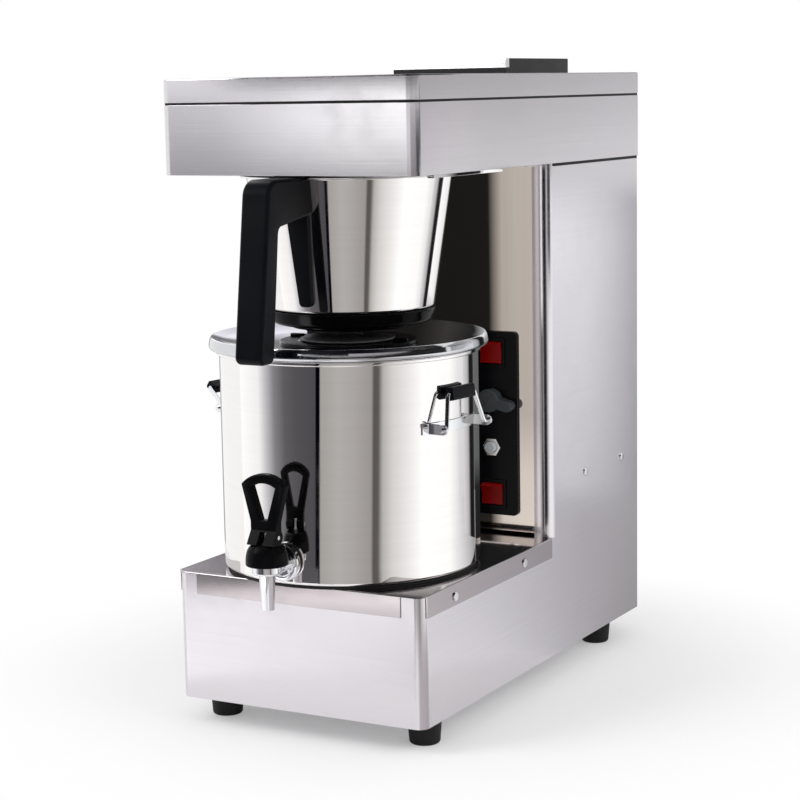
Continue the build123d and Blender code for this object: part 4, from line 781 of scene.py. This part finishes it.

# Cards that the metal reflects: painted reflections, glowing sheets that are no lamps, whose stops give the pattern
# of light and dark that the metal shows. Each glows with a ramp across it and one up it. Stops are a place and a
# shade.
# A lean turns the ramp with height, so that its edges stand upright on the urn.
urnAxis = urnPlace[:2]
leanHeight = 0.15
cardSteps = 48
cards = {
    "ringLeft": {
        "kind": "ring", "middle": urnAxis, "radius": 0.8, "low": 0.002, "high": 0.34, "from": -75.0, "to": -14.0,
        "across": [
            (-75, (1.12, 1.12, 1.12)), (-52, (0.98, 0.97, 0.98)), (-44, (0.6, 0.59, 0.62)),
            (-35, (0.25, 0.245, 0.26)), (-25, (0.125, 0.12, 0.13)), (-14, (0.095, 0.09, 0.1)),
        ],
    },
    "ringRight": {
        "kind": "ring", "middle": urnAxis, "radius": 0.8, "low": 0.002, "high": 0.34, "from": -14.0, "to": 134.0,
        "lean": 16.0,
        "across": [
            (-14, (0.095, 0.09, 0.1)), (1.4, (0.08, 0.075, 0.085)), (1.7, (0.0, 0.0, 0.002)),
            (4.9, (0.0, 0.0, 0.002)), (5.2, (0.4, 0.39, 0.37)), (20, (0.48, 0.46, 0.45)), (30, (0.45, 0.43, 0.42)),
            (46.4, (0.36, 0.34, 0.325)), (48.4, (0.11, 0.1, 0.095)), (52.2, (0.12, 0.11, 0.105)),
            (56, (0.5, 0.49, 0.47)), (64, (0.72, 0.71, 0.69)), (78, (0.92, 0.91, 0.9)), (92, (1.15, 1.15, 1.15)),
            (122, (1.1, 1.1, 1.1)), (134, (0.84, 0.84, 0.85)),
        ],
    },
    "backCard": {
        "kind": "sheet", "y": 1.1, "low": -0.9, "high": 1.4, "from": -1.6, "to": 2.2,
        "across": [
            (-1.6, (0.7, 0.7, 0.71)), (-1.1, (0.36, 0.35, 0.37)), (-0.7, (0.2, 0.195, 0.21)),
            (-0.3, (0.14, 0.14, 0.145)), (-0.05, (0.03, 0.03, 0.032)), (0.1, (0.05, 0.05, 0.052)),
            (0.26, (0.18, 0.18, 0.185)), (0.46, (0.36, 0.36, 0.37)), (0.62, (0.98, 0.98, 1.0)),
            (0.85, (0.86, 0.86, 0.88)), (1.3, (1.0, 1.0, 1.0)), (2.2, (1.05, 1.05, 1.05)),
        ],
        "upward": [
            (-0.9, 0.5), (-0.4, 0.6), (-0.2, 0.75), (0.0, 0.85), (0.2, 1.0), (0.36, 1.14), (0.44, 0.9), (0.58, 0.8),
            (0.66, 4.5), (1.4, 4.5),
        ],
    },
    "backHigh": {
        "kind": "sheet", "y": 1.09, "low": 0.43, "high": 1.4, "from": 0.2, "to": 2.2,
        "across": [
            (0.2, (1.15, 1.15, 1.16)), (0.5, (1.12, 1.12, 1.13)), (0.7, (0.98, 0.97, 0.98)),
            (1.2, (0.82, 0.81, 0.82)), (2.2, (0.8, 0.8, 0.8)),
        ],
        "upward": [(0.43, 0.74), (0.5, 0.7), (0.56, 0.56), (0.7, 0.48), (1.4, 0.5)],
    },
    "frontCard": {
        "kind": "sheet", "y": -2.2, "low": -0.35, "high": 1.3, "from": -2.4, "to": -0.3,
        "across": [
            (-2.4, (0.5, 0.5, 0.5)), (-1.5, (0.44, 0.435, 0.45)), (-1.25, (0.88, 0.875, 0.89)),
            (-0.95, (1.12, 1.12, 1.12)), (-0.3, (1.15, 1.15, 1.15)),
        ],
        "upward": [(-0.35, 0.4), (0.12, 0.42), (0.24, 0.55), (0.33, 0.72), (0.49, 0.78), (0.55, 2.0), (1.3, 2.1)],
    },
    # The next three sheets stand a few millimetres in front of the column: painted reflections and painted shade
    # for the column panel, the column's corners and the urn's right side
    "bayCard": {
        "kind": "sheet", "y": -0.004, "low": 0.148, "high": 0.506, "from": -0.125, "to": 0.117,
        "across": [
            (-0.125, (0.008, 0.008, 0.009)), (0.049, (0.014, 0.013, 0.012)), (0.063, (0.5, 0.465, 0.43)),
            (0.08, (0.56, 0.525, 0.49)), (0.097, (0.58, 0.53, 0.5)), (0.099, (0.2, 0.18, 0.17)),
            (0.1015, (0.2, 0.18, 0.17)), (0.1035, (0.8, 0.76, 0.76)), (0.107, (0.62, 0.58, 0.58)),
            (0.109, (0.34, 0.3, 0.3)), (0.117, (0.34, 0.3, 0.3)),
        ],
        "upward": [(0.148, 1.5), (0.2, 1.42), (0.26, 1.0), (0.506, 1.06)],
    },
    "bayFront": {
        "kind": "sheet", "y": -0.008, "low": 0.148, "high": 0.506, "from": -0.125, "to": 0.128,
        "across": [
            (-0.125, (0.006, 0.006, 0.007)), (0.0, (0.02, 0.018, 0.017)), (0.03, (0.06, 0.055, 0.05)),
            (0.055, (0.02, 0.02, 0.02)), (0.075, (0.9, 0.9, 0.9)), (0.128, (1.1, 1.1, 1.1)),
        ],
        "upward": [(0.148, 0.015), (0.2, 0.02), (0.23, 0.12), (0.34, 0.14), (0.375, 1.0), (0.506, 1.0)],
    },
    "sideShade": {
        "kind": "sheet", "y": -0.006, "low": 0.148, "high": 0.506, "from": 0.132, "to": 0.2,
        "across": [
            (0.132, (0.04, 0.038, 0.04)), (0.142, (0.012, 0.012, 0.014)), (0.157, (0.012, 0.012, 0.014)),
            (0.17, (0.5, 0.49, 0.5)), (0.2, (0.75, 0.74, 0.75)),
        ],
    },
    "rimShade": {
        "kind": "ring", "middle": urnAxis, "radius": 0.8, "low": 0.345, "high": 0.48, "from": -34.0, "to": 110.0,
        "across": [(-34, (0.02, 0.02, 0.024)), (40, (0.006, 0.006, 0.008)), (110, (0.03, 0.03, 0.03))],
    },
    "skyShade": {
        "kind": "disc", "middle": urnAxis, "inner": 0.11, "outer": 1.6, "z": 0.64, "from": -34.0, "to": 110.0,
        "across": [(-34, (0.03, 0.03, 0.034)), (40, (0.006, 0.006, 0.008)), (110, (0.04, 0.04, 0.04))],
    },
    "cornerShade": {
        "kind": "ring", "middle": urnAxis, "radius": 0.85, "low": 0.482, "high": 0.558, "from": 30.0, "to": 141.0,
        "across": [
            (30, (0.5, 0.47, 0.49)), (72, (0.38, 0.35, 0.37)), (80, (0.0, 0.0, 0.0)), (124, (0.0, 0.0, 0.0)),
            (136, (0.6, 0.58, 0.6)), (141, (0.9, 0.88, 0.9)),
        ],
    },
    # The discs below lie on the floor but only reflections see them: painted reflections and painted shade for the
    # base's front right corner, the deck flange and the base's front and sides
    "floorCorner": {
        "kind": "disc", "middle": (0.1178, -0.235), "inner": 0.02, "outer": 0.5, "z": 0.0015, "from": 16.0,
        "to": 140.0,
        "across": [
            (16, (1.15, 1.12, 1.14)), (32, (0.6, 0.56, 0.57)), (118, (0.48, 0.45, 0.46)), (140, (0.62, 0.6, 0.62)),
        ],
    },
    "flangeGlow": {
        "kind": "disc", "middle": urnAxis, "inner": 0.58, "outer": 0.72, "z": 0.003, "from": -45.0, "to": 15.0,
        "across": [
            (-45, (1.45, 1.41, 1.43)), (-22, (1.75, 1.71, 1.72)), (-8, (2.5, 2.48, 2.46)), (15, (2.9, 2.88, 2.86)),
        ],
    },
    "floorGlow": {
        "kind": "disc", "middle": urnAxis, "inner": 0.3, "outer": 1.0, "z": 0.0022, "from": -60.0, "to": 15.0,
        "across": [(-60, (1.3, 1.27, 1.29)), (-12, (1.08, 1.06, 1.08)), (15, (0.7, 0.69, 0.7))],
    },
    "floorBack": {
        "kind": "disc", "middle": urnAxis, "inner": 0.3, "outer": 1.15, "z": 0.002, "from": 112.0, "to": 190.0,
        "across": [
            (112, (0.95, 0.94, 0.95)), (134, (0.82, 0.81, 0.83)), (148, (0.6, 0.59, 0.61)), (160, (0.4, 0.39, 0.4)),
            (190, (0.3, 0.3, 0.3)),
        ],
    },
}

# Glowing discs on the floor in front of the rings carry the rings' painted reflection on, down to the urn's foot
floorRings = {
    "floorLeft": {"source": "ringLeft", "inner": 0.67, "from": -75.0, "to": 1.7},
    "floorRight": {"source": "ringRight", "inner": 0.55, "from": 1.7, "to": 134.0},
}
for name, values in floorRings.items():
    source = cards[values["source"]]
    cards[name] = {**source, **values, "kind": "disc", "outer": source["radius"], "z": 0.0035}


def bearingPoint(middle, radius, bearing, height):
    return (middle[0] + radius * sin(radians(bearing)), middle[1] - radius * cos(radians(bearing)), height)


def makeCardShape(values):
    shape = bmesh.new()
    start, end = values["from"], values["to"]
    if values["kind"] == "sheet":
        low, high = values["low"], values["high"]
        corners = [(start, low), (end, low), (end, high), (start, high)]
        shape.faces.new([shape.verts.new((x, values["y"], z)) for x, z in corners])
        return shape
    if values["kind"] == "ring":
        ends = [(values["radius"], values["low"]), (values["radius"], values["high"])]
    else:
        ends = [(values["inner"], values["z"]), (values["outer"], values["z"])]
    first, second = [shape.verts.new(bearingPoint(values["middle"], radius, start, z)) for radius, z in ends]
    side = shape.edges.new((first, second))
    bmesh.ops.spin(
        shape, geom=[first, second, side], cent=(*values["middle"], 0), axis=(0, 0, 1), angle=radians(end - start),
        steps=cardSteps, use_duplicate=False,
    )
    return shape


def rampNode(nodes, links, value, stops):
    low, high = stops[0][0], stops[-1][0]
    ramp = nodes.new("ShaderNodeValToRGB")
    elements = ramp.color_ramp.elements
    for place, shade in stops[1:-1]:
        elements.new((place - low) / (high - low))
    for element, (place, shade) in zip(elements, stops):
        element.position = (place - low) / (high - low)
        element.color = (*shade, 1.0) if isinstance(shade, tuple) else (shade, shade, shade, 1.0)
    links.new(mapNode(nodes, links, value, (low, high)), ramp.inputs["Fac"])
    return ramp.outputs["Color"]


# Bearing around the card's middle in degrees, from the front towards the right
def bearingNode(nodes, links, parts, middle):
    away = mathNode(nodes, links, "SUBTRACT", float(middle[1]), parts.outputs["Y"])
    beside = mathNode(nodes, links, "SUBTRACT", parts.outputs["X"], float(middle[0]))
    bearing = mathNode(nodes, links, "ARCTAN2", beside, away)
    return mathNode(nodes, links, "MULTIPLY", bearing, 180 / pi)


def makeCardMaterial(name, values):
    material = bpy.data.materials.new(name)
    material.use_nodes = True
    nodes, links = material.node_tree.nodes, material.node_tree.links
    nodes.remove(nodes["Principled BSDF"])
    coords = nodes.new("ShaderNodeTexCoord")
    parts = nodes.new("ShaderNodeSeparateXYZ")
    links.new(coords.outputs["Object"], parts.inputs[0])
    across, upward = parts.outputs["X"], parts.outputs["Z"]
    if values["kind"] != "sheet":
        across = bearingNode(nodes, links, parts, values["middle"])
    if "lean" in values:
        climb = mathNode(nodes, links, "SUBTRACT", upward, leanHeight)
        lean = mathNode(nodes, links, "MULTIPLY", climb, values["lean"])
        across = mathNode(nodes, links, "SUBTRACT", across, lean)
    shade = rampNode(nodes, links, across, values["across"])
    if "upward" in values:
        fall = addNode(nodes, "ShaderNodeVectorMath", operation="MULTIPLY")
        links.new(shade, fall.inputs[0])
        links.new(rampNode(nodes, links, upward, values["upward"]), fall.inputs[1])
        shade = fall.outputs[0]
    glow = nodes.new("ShaderNodeEmission")
    links.new(shade, glow.inputs["Color"])
    links.new(glow.outputs[0], nodes["Material Output"].inputs["Surface"])
    return material


# Only reflections see a card
def makeCard(name, values):
    card = makeObject(name, makeCardShape(values))
    card.data.materials.append(makeCardMaterial(name, values))
    card.visible_camera = False
    card.visible_diffuse = False
    card.visible_shadow = False


for name, values in cards.items():
    makeCard(name, values)
print("cards made:", len(cards))

lampTarget = Vector((0.0, -0.05, 0.3))
lamps = {
    "keyLamp": {"place": (-1.4, -1.7, 2.0), "size": 1.2, "power": 26.0},
    "sideLamp": {"place": (1.8, -0.4, 1.5), "size": 1.0, "power": 12.0},
}


def makeLamp(name, values):
    data = bpy.data.lights.new(name, "AREA")
    data.size = values["size"]
    data.energy = values["power"]
    lamp = bpy.data.objects.new(name, data)
    lamp.location = values["place"]
    aim = lampTarget - Vector(values["place"])
    lamp.rotation_mode = "QUATERNION"
    lamp.rotation_quaternion = aim.to_track_quat("-Z", "Y")
    bpy.context.scene.collection.objects.link(lamp)


for name, values in lamps.items():
    makeLamp(name, values)
print("lamps made:", len(lamps))
